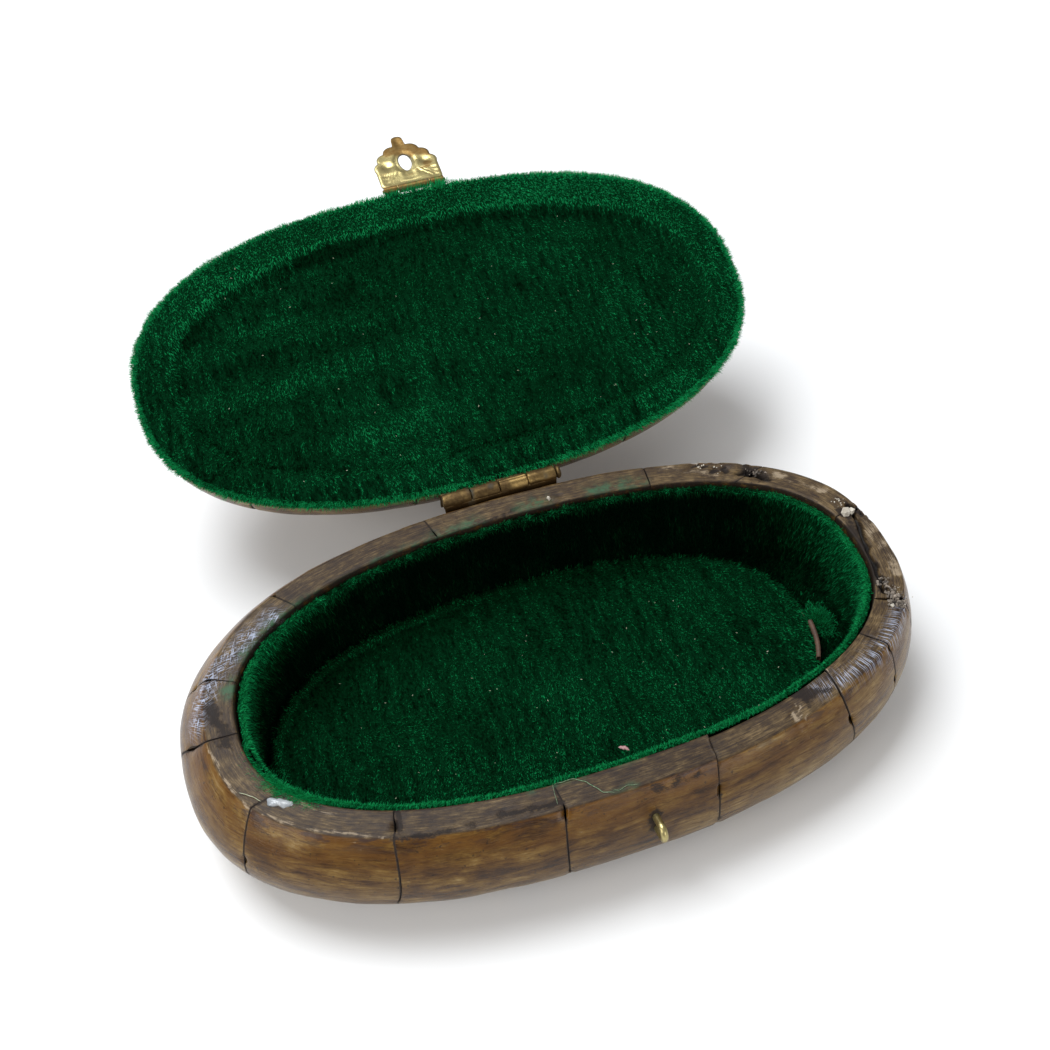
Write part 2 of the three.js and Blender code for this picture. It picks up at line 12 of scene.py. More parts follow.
import bpy
import numpy as np
from mathutils import Matrix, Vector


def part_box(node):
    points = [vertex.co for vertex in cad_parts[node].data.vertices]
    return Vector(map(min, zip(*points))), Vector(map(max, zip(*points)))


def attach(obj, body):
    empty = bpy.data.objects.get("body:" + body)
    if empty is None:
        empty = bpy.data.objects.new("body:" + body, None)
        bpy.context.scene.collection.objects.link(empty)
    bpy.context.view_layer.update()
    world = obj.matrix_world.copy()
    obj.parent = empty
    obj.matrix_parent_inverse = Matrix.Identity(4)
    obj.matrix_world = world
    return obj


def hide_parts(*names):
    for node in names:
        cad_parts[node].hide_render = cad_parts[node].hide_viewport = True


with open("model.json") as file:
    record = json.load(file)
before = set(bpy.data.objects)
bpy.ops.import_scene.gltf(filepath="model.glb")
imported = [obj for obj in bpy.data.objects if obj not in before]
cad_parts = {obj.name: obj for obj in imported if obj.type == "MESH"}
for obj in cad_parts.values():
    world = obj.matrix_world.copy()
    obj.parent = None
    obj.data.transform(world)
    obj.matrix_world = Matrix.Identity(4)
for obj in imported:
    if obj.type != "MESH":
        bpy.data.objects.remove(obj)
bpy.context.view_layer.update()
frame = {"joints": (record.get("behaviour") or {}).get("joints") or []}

# %% [markdown]
# ## The box's sizes
# A maker would note these on one sheet: the oval of the rim, the side view of the wall, the hinge
# line and the hasp. They are in millimetres, and one number turns them to metres when a mesh is
# made. The hinge axis and the lid's open angle come from the frame.

# %% Driving sizes
MM = 0.001
HALF_LENGTH, HALF_WIDTH, OVAL_POWER = 75.0, 41.5, 2.4
WALL, BASE_HEIGHT = 6.1, 27.0
BASE_BULGE, BULGE_DEPTH, FOOT_INSET, BULGE_SHIFT = 5.0, 12.0, 3.5, -2.4
CLOTH, FIT = 1.2, 0.3
EDGE_HEIGHT, EDGE_ROUNDING, EDGE_CREST = 10.0, 3.6, 1.2
CROWN_PLATE, CROWN_RISE = 3.0, 3.4
CROWN_CUTS = [-44.0, -15.0, 15.0, 44.0]
CROWN_ARRIS = 0.35
RECESS_DEPTH, RECESS_SLOPE = 3.2, 2.0
LID_FACE = BASE_HEIGHT + 0.4
LID_RIM = LID_FACE + CLOTH + FIT
# Where each joint crosses the rim: its bearing in degrees at the outer edge and at the inner edge
JOINTS = [(10, 10.5), (41, 45.5), (68, 66), (101.5, 101.5), (135, 135.5), (165, 166.5), (181.5, 182),
          (206, 207.5), (236, 235), (262.5, 262), (280.5, 282), (305, 309), (322.5, 323.5), (338.5, 338)]
joint = {j["name"]: j for j in frame["joints"]}
HINGE_Y, HINGE_Z = (v / MM for v in joint["lid_hinge"]["pos_m"][1:])
OPEN_ANGLE = math.radians(joint["lid_hinge"]["range_deg"][1])
print("hinge axis", HINGE_Y, HINGE_Z, "open", math.degrees(OPEN_ANGLE))

# %% [markdown]
# ## The camera
# The photograph was taken from above the front left, with the box filling most of the frame. The
# view was solved from the two ovals, the hinge line and the outline, so the camera stands where
# the photographer's did. Points seen in the photograph can then be carried onto the rim's plane.

# %% The camera
PHOTO = 1050
FOCAL = 1264.2
CENTRE_X, CENTRE_Y = 582.9, 560.2
VIEW_AZIMUTH, VIEW_ELEVATION, VIEW_ROLL = -0.2885, 0.8508, -0.0571
EYE = np.array([-41.89, -159.62, 209.46 + BASE_HEIGHT])


def view_axes():
    """Right, up and back of the camera: a turn by azimuth and elevation, then a roll."""
    back = np.array([math.sin(VIEW_AZIMUTH) * math.cos(VIEW_ELEVATION),
                     -math.cos(VIEW_AZIMUTH) * math.cos(VIEW_ELEVATION), math.sin(VIEW_ELEVATION)])
    right = np.cross(-back, [0, 0, 1])
    right /= np.linalg.norm(right)
    up = np.cross(right, -back)
    c, s = math.cos(VIEW_ROLL), math.sin(VIEW_ROLL)
    return c * right + s * up, c * up - s * right, back


RIGHT, UP, BACK = view_axes()
camera_data = bpy.data.cameras.new("camera")
camera_data.sensor_width = 36
camera_data.lens = FOCAL / PHOTO * camera_data.sensor_width
camera_data.shift_x = (PHOTO / 2 - CENTRE_X) / PHOTO
camera_data.shift_y = (CENTRE_Y - PHOTO / 2) / PHOTO
camera = bpy.data.objects.new("camera", camera_data)
bpy.context.scene.collection.objects.link(camera)
camera.matrix_world = Matrix([[*row, e * MM] for row, e in zip(np.stack([RIGHT, UP, BACK], 1), EYE)]
                             + [[0, 0, 0, 1]])
bpy.context.scene.camera = camera


def seen_at(pixel, height=BASE_HEIGHT):
    """The point at a height, in mm, that shows at a pixel of the photograph."""
    across = (pixel[0] - CENTRE_X) / FOCAL
    down = (pixel[1] - CENTRE_Y) / FOCAL
    ray = -BACK + RIGHT * across - UP * down
    return EYE + ray * (height - EYE[2]) / ray[2]


LEFT_FRONT_JOINT = (208, 745)
print("camera lens", round(camera_data.lens, 2), "joint at", seen_at(LEFT_FRONT_JOINT).round(1))

# %% [markdown]
# ## The studio
# A pale floor and a soft overcast light, as in a plain product photograph: one large lamp above
# and behind, a weaker one at the left as a window, another at the front, and a white world to fill.

# %% Floor and light
FLOOR_SIZE = 4.0


def flat_floor():
    """A square at the height of the box's underside."""
    mesh = bpy.data.meshes.new("floor")
    h = FLOOR_SIZE / 2
    mesh.from_pydata([(-h, -h, 0), (h, -h, 0), (h, h, 0), (-h, h, 0)], [], [(0, 1, 2, 3)])
    floor = bpy.data.objects.new("floor", mesh)
    bpy.context.scene.collection.objects.link(floor)
    material = bpy.data.materials.new("pale_floor")
    material.use_nodes = True
    shader = material.node_tree.nodes["Principled BSDF"]
    shader.inputs["Base Color"].default_value = (0.86, 0.86, 0.86, 1)
    shader.inputs["Roughness"].default_value = 0.9
    mesh.materials.append(material)


def area_lamp(name, place, aim, size, power, tint=(1, 1, 1)):
    """A square lamp at a place in metres, turned towards a point."""
    data = bpy.data.lights.new(name, "AREA")
    data.size, data.energy, data.color = size, power, tint
    lamp = bpy.data.objects.new(name, data)
    bpy.context.scene.collection.objects.link(lamp)
    back = np.array(place, float) - np.array(aim, float)
    back /= np.linalg.norm(back)
    right = np.cross([0, 0, 1], back) if abs(back[2]) < 0.99 else np.array([1.0, 0, 0])
    right /= np.linalg.norm(right)
    up = np.cross(back, right)
    rows = np.stack([right, up, back], 1)
    lamp.matrix_world = Matrix([[*row, p] for row, p in zip(rows, place)] + [[0, 0, 0, 1]])


flat_floor()
area_lamp("sky", (-0.2, 0.35, 0.9), (0, 0.03, 0), 0.6, 10.0, (0.94, 0.97, 1))
area_lamp("window", (-0.75, -0.25, 0.5), (0, 0.03, 0), 0.45, 3.0, (1, 0.98, 0.95))
area_lamp("front", (0.35, -0.85, 0.4), (0, 0, 0.01), 0.5, 2.6)
world = bpy.data.worlds.new("white_world")
bpy.context.scene.world = world
world.use_nodes = True
world.node_tree.nodes["Background"].inputs[0].default_value = (1, 1, 1, 1)
world.node_tree.nodes["Background"].inputs[1].default_value = 0.4
bpy.context.scene.view_settings.view_transform = "Standard"

# %% [markdown]
# ## Writing shader maths as expressions
# A node tree is hard to read as a picture and harder as code. Here one small class wraps a socket,
# so that `wear * 0.5 + 1` adds its Math nodes by itself, and one method adds every other node.
# A material's recipe then reads as a few lines of arithmetic.


# %% Sockets that can be added and multiplied
class Wire:
    """One output socket of a material's node tree."""

    def __init__(self, paint, socket):
        self.paint, self.socket = paint, socket

    def maths(self, operation, a, b):
        return self.paint.node("ShaderNodeMath", {"operation": operation}, {0: a, 1: b})

    def __add__(self, other):
        return self.maths("ADD", self, other)

    def __sub__(self, other):
        return self.maths("SUBTRACT", self, other)

    def __rsub__(self, other):
        return self.maths("SUBTRACT", other, self)

    def __mul__(self, other):
        return self.maths("MULTIPLY", self, other)

    def clip(self):
        return self.paint.node("ShaderNodeClamp", {}, {0: self})

    def step(self, low, high):
        """0 below low, 1 above high and smooth between."""
        return self.paint.node("ShaderNodeMapRange", {"interpolation_type": "SMOOTHSTEP"},
                               {"Value": self, "From Min": low, "From Max": high})

    __radd__ = __add__
    __rmul__ = __mul__


class Paint:
    """A material under construction. node() adds any node; the rest are short names for common ones."""

    def __init__(self, name):
        self.material = bpy.data.materials.new(name)
        self.material.use_nodes = True
        self.tree = self.material.node_tree
        self.shader = self.tree.nodes["Principled BSDF"]

    def node(self, kind, settings, values, output=0):
        made = self.tree.nodes.new(kind)
        for key, value in settings.items():
            if key == "stops":
                self.set_stops(made.color_ramp, value)
            else:
                setattr(made, key, value)
        for key, value in values.items():
            self.feed(made.inputs[key], value)
        return Wire(self, made.outputs[output])

    def feed(self, socket, value):
        if isinstance(value, Wire):
            self.tree.links.new(value.socket, socket)
        elif isinstance(value, (tuple, list)) and len(value) == 3 and len(socket.default_value) == 4:
            socket.default_value = (*value, 1)
        else:
            socket.default_value = value

    def set_stops(self, ramp, stops):
        while len(ramp.elements) < len(stops):
            ramp.elements.new(0.5)
        for element, (place, color) in zip(ramp.elements, stops):
            element.position, element.color = place, (*color, 1)

    def attribute(self, name):
        return self.node("ShaderNodeAttribute", {"attribute_name": name}, {}, "Fac")

    def place(self):
        return self.node("ShaderNodeTexCoord", {}, {}, "Object")

    def vector(self, x, y, z):
        return self.node("ShaderNodeCombineXYZ", {}, {0: x, 1: y, 2: z})

    def noise(self, at, scale, detail=3.0, rough=0.55, warp=0.0):
        return self.node("ShaderNodeTexNoise", {}, {"Vector": at, "Scale": scale, "Detail": detail,
                                                    "Roughness": rough, "Distortion": warp})

    def ramp(self, factor, stops):
        return self.node("ShaderNodeValToRGB", {"stops": stops}, {0: factor})

    def blend(self, factor, a, b, mode="MIX"):
        return self.node("ShaderNodeMix", {"data_type": "RGBA", "blend_type": mode},
                         {"Factor": factor, 6: a, 7: b}, 2)

    def bump(self, height, strength, distance):
        return self.node("ShaderNodeBump", {}, {"Height": height, "Strength": strength,
                                                "Distance": distance})

    def finish(self, **sockets):
        for name, value in sockets.items():
            self.feed(self.shader.inputs[name.replace("_", " ")], value)
        return self.material


# %% [markdown]
# ## Making meshes from arrays
# Each piece is a surface of two parameters. numpy works out all its points at once, and one
# function hands them to Blender, with the numbers that the materials read later: how far along
# the bone a point is, how far down, and how close to a joint.


# %% Mesh helpers
def grid_faces(rows, columns, close_rows=False, close_columns=False, start=0):
    """Four-sided faces over a grid of points, with each direction open or closed on itself."""
    i, j = np.meshgrid(np.arange(rows if close_rows else rows - 1),
                       np.arange(columns if close_columns else columns - 1), indexing="ij")
    k, l = (i + 1) % rows, (j + 1) % columns
    quads = np.stack([i * columns + j, k * columns + j, k * columns + l, i * columns + l], -1)
    return start + quads.reshape(-1, 4)


def fan_faces(ring, centre):
    """Triangles, written as faces of three, from a ring of points to one centre."""
    return np.stack([ring, np.roll(ring, -1), np.full(len(ring), centre)], -1)


def make_piece(name, points, face_sets, material, body, slot, stands_for=(), smooth=True, **marks):
    """Puts points (in mm) and faces into a new object that rides on a body.

    face_sets are arrays of faces with three or four corners. marks are one number a point."""
    points = np.asarray(points, float).reshape(-1, 3)
    mesh = bpy.data.meshes.new(name)
    sizes = np.concatenate([np.full(len(f), f.shape[1]) for f in face_sets])
    corners = np.concatenate([f.reshape(-1) for f in face_sets])
    mesh.vertices.add(len(points))
    mesh.vertices.foreach_set("co", (points * MM).ravel())
    mesh.loops.add(len(corners))
    mesh.loops.foreach_set("vertex_index", corners.astype(np.int32))
    mesh.polygons.add(len(sizes))
    starts = np.concatenate([[0], np.cumsum(sizes)[:-1]])
    mesh.polygons.foreach_set("loop_start", starts.astype(np.int32))
    mesh.polygons.foreach_set("use_smooth", np.full(len(sizes), smooth))
    for key, value in marks.items():
        layer = mesh.attributes.new(key, "FLOAT", "POINT")
        layer.data.foreach_set("value", np.broadcast_to(value, len(points)).astype(np.float32).ravel())
    mesh.update(calc_edges=True)
    mesh.validate()
    mesh.materials.append(material)
    piece = bpy.data.objects.new(name, mesh)
    bpy.context.scene.collection.objects.link(piece)
    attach(piece, body)
    if stands_for:
        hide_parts(*stands_for)
    return piece


def face_out(faces, points):
    """Turns every face of a closed skin round if its volume comes out negative."""
    volume = 0.0
    for f in faces:
        a = points[f[:, 0]]
        for k in range(1, f.shape[1] - 1):
            volume += np.einsum("ij,ij->", a, np.cross(points[f[:, k]], points[f[:, k + 1]]))
    return [f[:, ::-1] for f in faces] if volume < 0 else faces


# %% Noise that can be added to a surface
HASH_PRIMES = (73856093, 19349663, 83492791, 26544357)
HASH_STIR = 1274126177
HALF_RANGE = 32767.5


def lattice(ix, iy, iz, seed):
    """A fixed number from -1 to 1 for each corner of a cubic lattice, stirred from its place."""
    px, py, pz, ps = HASH_PRIMES
    n = (ix * px) ^ (iy * py) ^ (iz * pz) ^ (seed * ps)
    n = (n ^ (n >> 13)) * HASH_STIR & 0x7FFFFFFF
    return ((n ^ (n >> 16)) & 0xFFFF) / HALF_RANGE - 1


def lumps(points, size, seed=1):
    """Smooth noise from -1 to 1: the lattice's corners blended by an eased weight, cell by cell."""
    p = np.asarray(points, float) / size
    low = np.floor(p).astype(np.int64)
    f = p - low
    f = f * f * (3 - 2 * f)
    total = 0.0
    for dx in (0, 1):
        for dy in (0, 1):
            for dz in (0, 1):
                weight = (np.where(dx, f[..., 0], 1 - f[..., 0]) * np.where(dy, f[..., 1], 1 - f[..., 1])
                          * np.where(dz, f[..., 2], 1 - f[..., 2]))
                corner = lattice(low[..., 0] + dx, low[..., 1] + dy, low[..., 2] + dz, seed)
                total = total + weight * corner
    return total


def spot(points, centre, radius):
    """1 at a centre, falling as a bell curve to a fiftieth at twice the radius."""
    return np.exp(-np.sum((points - np.asarray(centre)) ** 2, -1) / radius ** 2)


def ease(x, low=0.0, high=1.0):
    """0 below low, 1 above high, and a smooth step between."""
    t = np.clip((x - low) / (high - low), 0, 1)
    return t * t * (3 - 2 * t)


# %% [markdown]
# ## The oval
# The rim is neither an ellipse nor a rounded rectangle but something between, which is what a
# superellipse gives: each coordinate is a power of the cosine or sine. A second function swings
# what belongs to the lid about the hinge, from its closed place to its open one.


# %% The oval and the open lid
def oval(bearing, offset, length=HALF_LENGTH, width=HALF_WIDTH):
    """Points of the oval: |cos|^(2/n) and |sin|^(2/n) with their signs, scaled by the half sizes."""
    c, s = np.cos(bearing), np.sin(bearing)
    power = 2 / OVAL_POWER
    x = (length + offset) * np.sign(c) * np.abs(c) ** power
    y = (width + offset) * np.sign(s) * np.abs(s) ** power
    return x, y


def opened(points, angle=OPEN_ANGLE):
    """Turns points about the hinge axis, which runs along X, from closed to open."""
    c, s = math.cos(-angle), math.sin(-angle)
    y, z = points[..., 1] - HINGE_Y, points[..., 2] - HINGE_Z
    return np.stack([points[..., 0], HINGE_Y + y * c - z * s, HINGE_Z + y * s + z * c], -1)


def arc_length(bearing):
    """Length along the rim's outer edge up to each bearing, in mm, from a table of short chords."""
    table = np.radians(np.arange(-20, 400, 0.5))
    x, y = oval(table, 0)
    run = np.concatenate([[0], np.cumsum(np.hypot(np.diff(x), np.diff(y)))])
    return np.interp(bearing, table, run)


# %% [markdown]
# ## Bone
# Long bone is polished to a soft gloss over brown streaks that run with the fibre, along each
# piece. Sawn and filed faces are duller and greyer, with file marks across them, and dirt sits in
# the joints. One recipe covers all: it reads how far along and down a point is, and stretches its
# noise along the fibre. The rim, the worn spots and the dirt come in through numbers on the mesh.


# %% The bone material
def bone_material(name, tones, rim_tones, gloss=0.3):
    """tones and rim_tones are colour stops from the darkest streak to the palest ground."""
    p = Paint(name)
    along, down, tone = p.attribute("along"), p.attribute("down"), p.attribute("tone")
    rim, dirt, pale, crack = (p.attribute(k) for k in ("rim", "dirt", "pale", "crack"))
    at = p.place()
    wander = down + p.noise(p.vector(along * 0.07, down * 0.15, tone * 7.0), 1.0, 2.0) * 2.4
    streak = p.noise(p.vector(along * 0.09, wander * 0.8, tone * 37.0), 1.0, 5.0, 0.65, 0.3)
    fine = p.noise(p.vector(along * 0.28, wander * 4.2, tone * 11.0), 1.0, 4.0, 0.68)
    hair = p.noise(p.vector(along * 0.8, wander * 12.0, tone * 23.0), 1.0, 3.0, 0.6)
    cloud = p.noise(p.vector(along * 0.12, down * 0.28, tone * 19.0), 1.0, 4.0, 0.6)
    mottle = p.noise(at, 330.0, 5.0, 0.65)
    mix = streak * 0.52 + fine * 0.34 + hair * 0.24 + cloud * 0.55 + mottle * 0.2
    level = (mix - 0.95) * 1.75 + 0.5 + (tone - 0.5) * 0.42
    low_down = down.step(5.0, 15.0)
    side = p.ramp((level + low_down * 0.05).clip(), tones)
    grey = p.blend(low_down * 0.5, side, p.blend(1.0, side, (0.9, 1.02, 1.5), "MULTIPLY"))
    sap = p.noise(p.vector(along * 0.1, wander * 0.45, tone * 51.0), 1.0, 5.0, 0.65)
    stained = p.blend((1 - down.step(0.4, 9.0)) * sap.step(0.36, 0.6) * 0.7, grey, (0.115, 0.048, 0.008))
    ink = p.noise(p.vector(along * 0.16, down * 0.8, tone * 63.0), 1.0, 4.0, 0.65)
    inked = p.blend((1 - down.step(0.2, 3.4)) * ink.step(0.5, 0.6) * 0.8, stained, (0.03, 0.016, 0.014))
    lines = p.blend(fine.step(0.58, 0.68) * streak.step(0.42, 0.6) * 0.55, inked, (0.028, 0.014, 0.006))
    grain = p.noise(p.vector(along * 0.22, down * 2.6, tone * 5.0), 1.0, 5.0, 0.7)
    comb = p.noise(p.vector(along * 0.5, down * 9.0, tone * 9.0), 1.0, 3.0, 0.6)
    filed_level = (grain * 0.55 + comb * 0.4 + mottle * 0.35 + cloud * 0.3 - 0.8) * 1.9 + 0.5
    filed = p.ramp((filed_level + (tone - 0.5) * 0.4).clip(), rim_tones)
    body = p.blend(rim, lines, filed)
    specks = p.noise(at, 1100.0, 2.0, 0.5)
    pitted = p.blend(specks.step(0.66, 0.72) * 0.7, body, (0.02, 0.011, 0.006))
    rub = (pale * 1.25 + (mottle - 0.5) * 1.9 + (comb - 0.5) * 1.4 - 0.12).step(0.3, 0.75)
    worn = p.blend(rub * 0.75, pitted, (0.33, 0.26, 0.18))
    hatch, rake = p.attribute("hatch"), p.attribute("rake")
    first = p.noise(p.vector((along + down) * 4.4, (along - down) * 0.3, 1.0), 1.0, 2.0, 0.5)
    second = p.noise(p.vector((along * 0.3 - down) * 5.0, (along + down) * 0.22, 4.0), 1.0, 2.0, 0.5)
    combed = p.noise(p.vector(along * 4.4, down * 0.3, 9.0), 1.0, 2.0, 0.5)
    cuts = hatch * (first.step(0.53, 0.6) + second.step(0.57, 0.64)) + rake * combed.step(0.52, 0.6)
    scratched = p.blend((cuts * (mottle + 0.5)).clip() * 0.9, worn, (0.4, 0.45, 0.58))
    grime = p.noise(at, 420.0, 5.0, 0.7)
    soil = (dirt * 1.3 + (grime - 0.5) * 2.0 + (comb - 0.5) * 1.0 - 0.12).step(0.28, 0.66)
    dirty = p.blend(soil * 0.9, scratched, (0.014, 0.01, 0.009))
    dust = p.attribute("dust") * (grime * 3.0 + comb * 1.2 - 1.75)
    dusted = p.blend((dust * 1.3).clip(), dirty, (0.035, 0.085, 0.042))
    color = p.blend(crack.clip(), dusted, (0.006, 0.004, 0.003))
    rough = (streak * 0.2 + rim * 0.2 + soil * 0.3 + rub * 0.15 + fine * 0.1 + gloss - 0.16).clip()
    height = (fine * 0.5 + hair * 0.2 + comb * rim * 0.8 + specks * 0.3 + grime * soil * 0.9
              - cuts * 0.3 + p.noise(at, 150.0, 3.0) * 0.8)
    normal = p.bump(height, 0.5, 0.00018)
    p.feed(p.shader.inputs["Specular IOR Level"], 0.26)
    return p.finish(Base_Color=color, Roughness=rough, Normal=normal, IOR=1.45, Coat_Weight=0.03,
                    Coat_Roughness=0.2)


BONE_TONES = [(0.12, (0.012, 0.005, 0.002)), (0.32, (0.05, 0.021, 0.005)), (0.5, (0.102, 0.05, 0.009)),
              (0.68, (0.185, 0.108, 0.026)), (0.9, (0.35, 0.26, 0.12))]
RIM_TONES = [(0.12, (0.008, 0.005, 0.004)), (0.36, (0.028, 0.016, 0.01)), (0.56, (0.057, 0.035, 0.015)),
             (0.85, (0.17, 0.114, 0.052))]
bone = bone_material("polished_bone", BONE_TONES, RIM_TONES)

# %% [markdown]
# ## The wall of the base
# Each piece of the wall has the same cross section: flat filed rim, a side that swells out past
# the rim and draws in to the foot, and an upright inner face. Carried along the oval from joint to
# joint it gives one piece, whose arrises are rounded by drawing the section in near each end. The
# maker's hand shows in low lumps, worn edges and chips, which are added along the normals.


# %% The cross section of the wall
def wall_offset(depth):
    """How far the side stands out past the rim: two parabolas that meet at the widest level."""
    above = BASE_BULGE * (1 - (1 - depth / BULGE_DEPTH) ** 2)
    below = (depth - BULGE_DEPTH) / (BASE_HEIGHT - BULGE_DEPTH)
    return np.where(depth < BULGE_DEPTH, above, BASE_BULGE - (BASE_BULGE + FOOT_INSET) * below ** 2)


def wall_shift(depth):
    """Sideways lean of the swelling, which is off centre on a box made by hand."""
    offset = wall_offset(depth)
    return BULGE_SHIFT * np.where(depth < BULGE_DEPTH, offset / BASE_BULGE,
                                  (offset + FOOT_INSET) / (BASE_BULGE + FOOT_INSET))


SMOOTHING_REACH = 16


def rounded_loop(corners, count, softness):
    """A closed outline resampled to even steps, its corners eased by a circular Gaussian mean."""
    closed = np.vstack([corners, corners[:1]])
    run = np.concatenate([[0], np.cumsum(np.hypot(*np.diff(closed, axis=0).T))])
    at = np.linspace(0, run[-1], count, endpoint=False)
    loop = np.stack([np.interp(at, run, closed[:, k]) for k in range(2)], -1)
    reach = np.arange(-SMOOTHING_REACH, SMOOTHING_REACH + 1)
    weights = np.exp(-0.5 * (reach * run[-1] / count / softness) ** 2)
    weights /= weights.sum()
    return sum(w * np.roll(loop, r, axis=0) for w, r in zip(weights, reach))


def inward(loop):
    """Unit normals of a closed outline, pointing to its inside."""
    run = np.roll(loop, -1, axis=0) - np.roll(loop, 1, axis=0)
    normal = np.stack([run[:, 1], -run[:, 0]], -1)
    normal /= np.linalg.norm(normal, axis=1)[:, None]
    middle = loop.mean(0)
    return normal * np.sign(np.sum((middle - loop) * normal))


def wall_outline():
    """The wall's section as [offset, height] corners, from the inner foot up and over the rim."""
    depth = np.linspace(0, BASE_HEIGHT, 60)
    side = np.stack([wall_offset(depth), BASE_HEIGHT - depth], -1)
    return np.vstack([[[-WALL, 0], [-WALL, BASE_HEIGHT]], side])


# %% Carrying a section along the oval
LIP = 0.18
GLUE_GAP = 0.05
# How far along the fibre the next piece starts, so that no two pieces share their streaks
FIBRE_STEP = 71.0
# Sideways drift of a few joints, by place in JOINTS: degrees at the rim, of the bow and low down
DRIFT = {
    6: (0.0, 0.0, -6.5),
    7: (-1.2, 2.4, 2.6),
    8: (1.3, 2.4, 3.2),
    9: (0.5, 0.5, 1.5),
    11: (0.0, 0.0, 3.0),
}
STRAIGHT = (0.0, 0.0, 0.0)
DRIFT_DEPTH = 16.0


def bearings_at(number, offset, share, depth=0.0, gap=GLUE_GAP):
    """Bearing at a share of the way along a piece. Joints lean, so it depends on the offset, and a
    few also drift on their way down the side, by so many degrees at the rim, halfway and low down."""
    start, stop = JOINTS[number - 1], JOINTS[number % len(JOINTS)]
    turn = 360 if stop[0] < start[0] else 0
    lean = np.clip(-offset / WALL, 0, 1)
    sink, outside = np.clip(depth / DRIFT_DEPTH, 0, 1), ease(offset, -WALL, -1.0)
    drifts = []
    for joint_index in (number - 1, number % len(JOINTS)):
        high, bow, low = DRIFT.get(joint_index, STRAIGHT)
        drifts.append((high * (1 - sink) + low * sink + 4 * bow * sink * (1 - sink)) * outside)
    first = np.radians(start[0] + (start[1] - start[0]) * lean + drifts[0])
    last = np.radians(stop[0] + turn + (stop[1] - stop[0]) * lean + drifts[1])
    length = arc_length(np.radians(stop[0] + turn)) - arc_length(np.radians(start[0]))
    trim = gap / 2 / length
    return first + (last - first) * (trim + share * (1 - 2 * trim)), length


def stations(length, step):
    """Shares along a piece: even steps, with a few close ones in the rounded lip at each end."""
    lip = LIP * np.array([0, 0.06, 0.2, 0.42, 0.7, 1.0]) / length
    middle = np.linspace(lip[-1], 1 - lip[-1], max(3, int(length / step)))
    return np.concatenate([lip[:-1], middle, 1 - lip[-2::-1]])


def lip_inset(share, length):
    """How far the section draws in near an end: a quarter round of the lip's radius."""
    gap = np.minimum(share, 1 - share) * length
    t = np.clip(1 - gap / LIP, 0, 1)
    return LIP * (1 - np.sqrt(1 - t ** 2)) * 0.8


def carried_piece(number, loop, shift, step=0.8, drifts=True):
    """Points of one piece of the wall or lid, as [station, place round the section], with how far
    along the fibre each one is and how far from the nearer joint."""
    length = bearings_at(number, 0.0, 0.5)[1]
    share = stations(length, step)
    section = loop[None] + inward(loop)[None] * lip_inset(share, length)[:, None, None]
    depth = BASE_HEIGHT - section[..., 1] if drifts else 0.0
    bearing = bearings_at(number, section[..., 0], share[:, None], depth)[0]
    x, y = oval(bearing, section[..., 0])
    points = np.stack([x + shift(section), y, section[..., 1]], -1)
    along = np.broadcast_to(share[:, None] * length + number * FIBRE_STEP, x.shape)
    edge = np.broadcast_to(np.minimum(share, 1 - share)[:, None] * length, x.shape)
    return points, along, edge


def close_ends(points, rows, columns):
    """Faces of a carried piece: the sides, and a fan over each end to the middle of its section."""
    flat = points.reshape(-1, 3)
    last = (rows - 1) * columns
    centres = np.stack([flat[:columns].mean(0), flat[last:].mean(0)])
    everything = np.vstack([flat, centres])
    faces = [grid_faces(rows, columns, close_columns=True),
             fan_faces(np.arange(columns)[::-1], len(flat)),
             fan_faces(last + np.arange(columns), len(flat) + 1)]
    return everything, face_out(faces, everything)


def outward_normals(points):
    """Unit normals of a grid that is closed in its second direction, turned to its outside."""
    du = np.gradient(points, axis=0)
    dv = np.roll(points, -1, axis=1) - np.roll(points, 1, axis=1)
    normal = np.cross(du, dv)
    normal = normal / np.maximum(np.linalg.norm(normal, axis=-1, keepdims=True), 1e-9)
    return normal * np.sign(np.sum(normal * (points - points.mean((0, 1)))))


def with_centres(values):
    """Marks of a carried piece as flat lists, with 0 for the two centres that close its ends."""
    return {key: np.concatenate([np.asarray(v, float).ravel(), [0.0, 0.0]]) for key, v in values.items()}


# %% What time has done to the rim, by its place in the photograph
WORN = [[(206, 744), (212, 756), (222, 774), (234, 792), (250, 811)],
        [(262, 814), (300, 827), (384, 838)],
        [(292, 797), (312, 808), (345, 817)],
        [(868, 512), (888, 534), (902, 556), (910, 584)]]
CREAM = [[(240, 700), (252, 682), (266, 664), (284, 646), (304, 628)],
         [(660, 468), (690, 470), (715, 474)],
         [(775, 474), (800, 482), (826, 492)],
         [(872, 524), (888, 548), (899, 574)],
         [(866, 522), (880, 546)]]
HATCHED = [[(194, 722), (200, 700), (210, 680), (226, 660), (246, 640), (272, 618)]]
RAKED = [[(904, 602), (897, 624), (884, 644), (866, 662), (846, 676), (822, 688)]]
DARK_WIDE = [[(208, 708), (218, 726), (226, 742)],
             [(842, 512), (856, 536), (870, 562), (880, 590)],
             [(793, 688), (812, 694), (826, 690)],
             [(748, 468), (762, 476)],
             [(300, 604), (330, 590)]]
DARK_THIN = [[(396, 839), (420, 836), (446, 831), (474, 826)],
             [(724, 758), (742, 753)],
             [(466, 530), (520, 508)],
             [(398, 810), (402, 836)],
             [(500, 816), (560, 803)],
             [(655, 786), (700, 772)],
             [(846, 502), (862, 512)]]
GREEN_DUST = [[(346, 582), (370, 569), (398, 554), (434, 539)],
              [(440, 536), (478, 521)],
              [(520, 508), (545, 500)],
              [(590, 490), (640, 482)],
              [(230, 690), (246, 672)],
              [(247, 655), (265, 631), (300, 605), (342, 584)]]
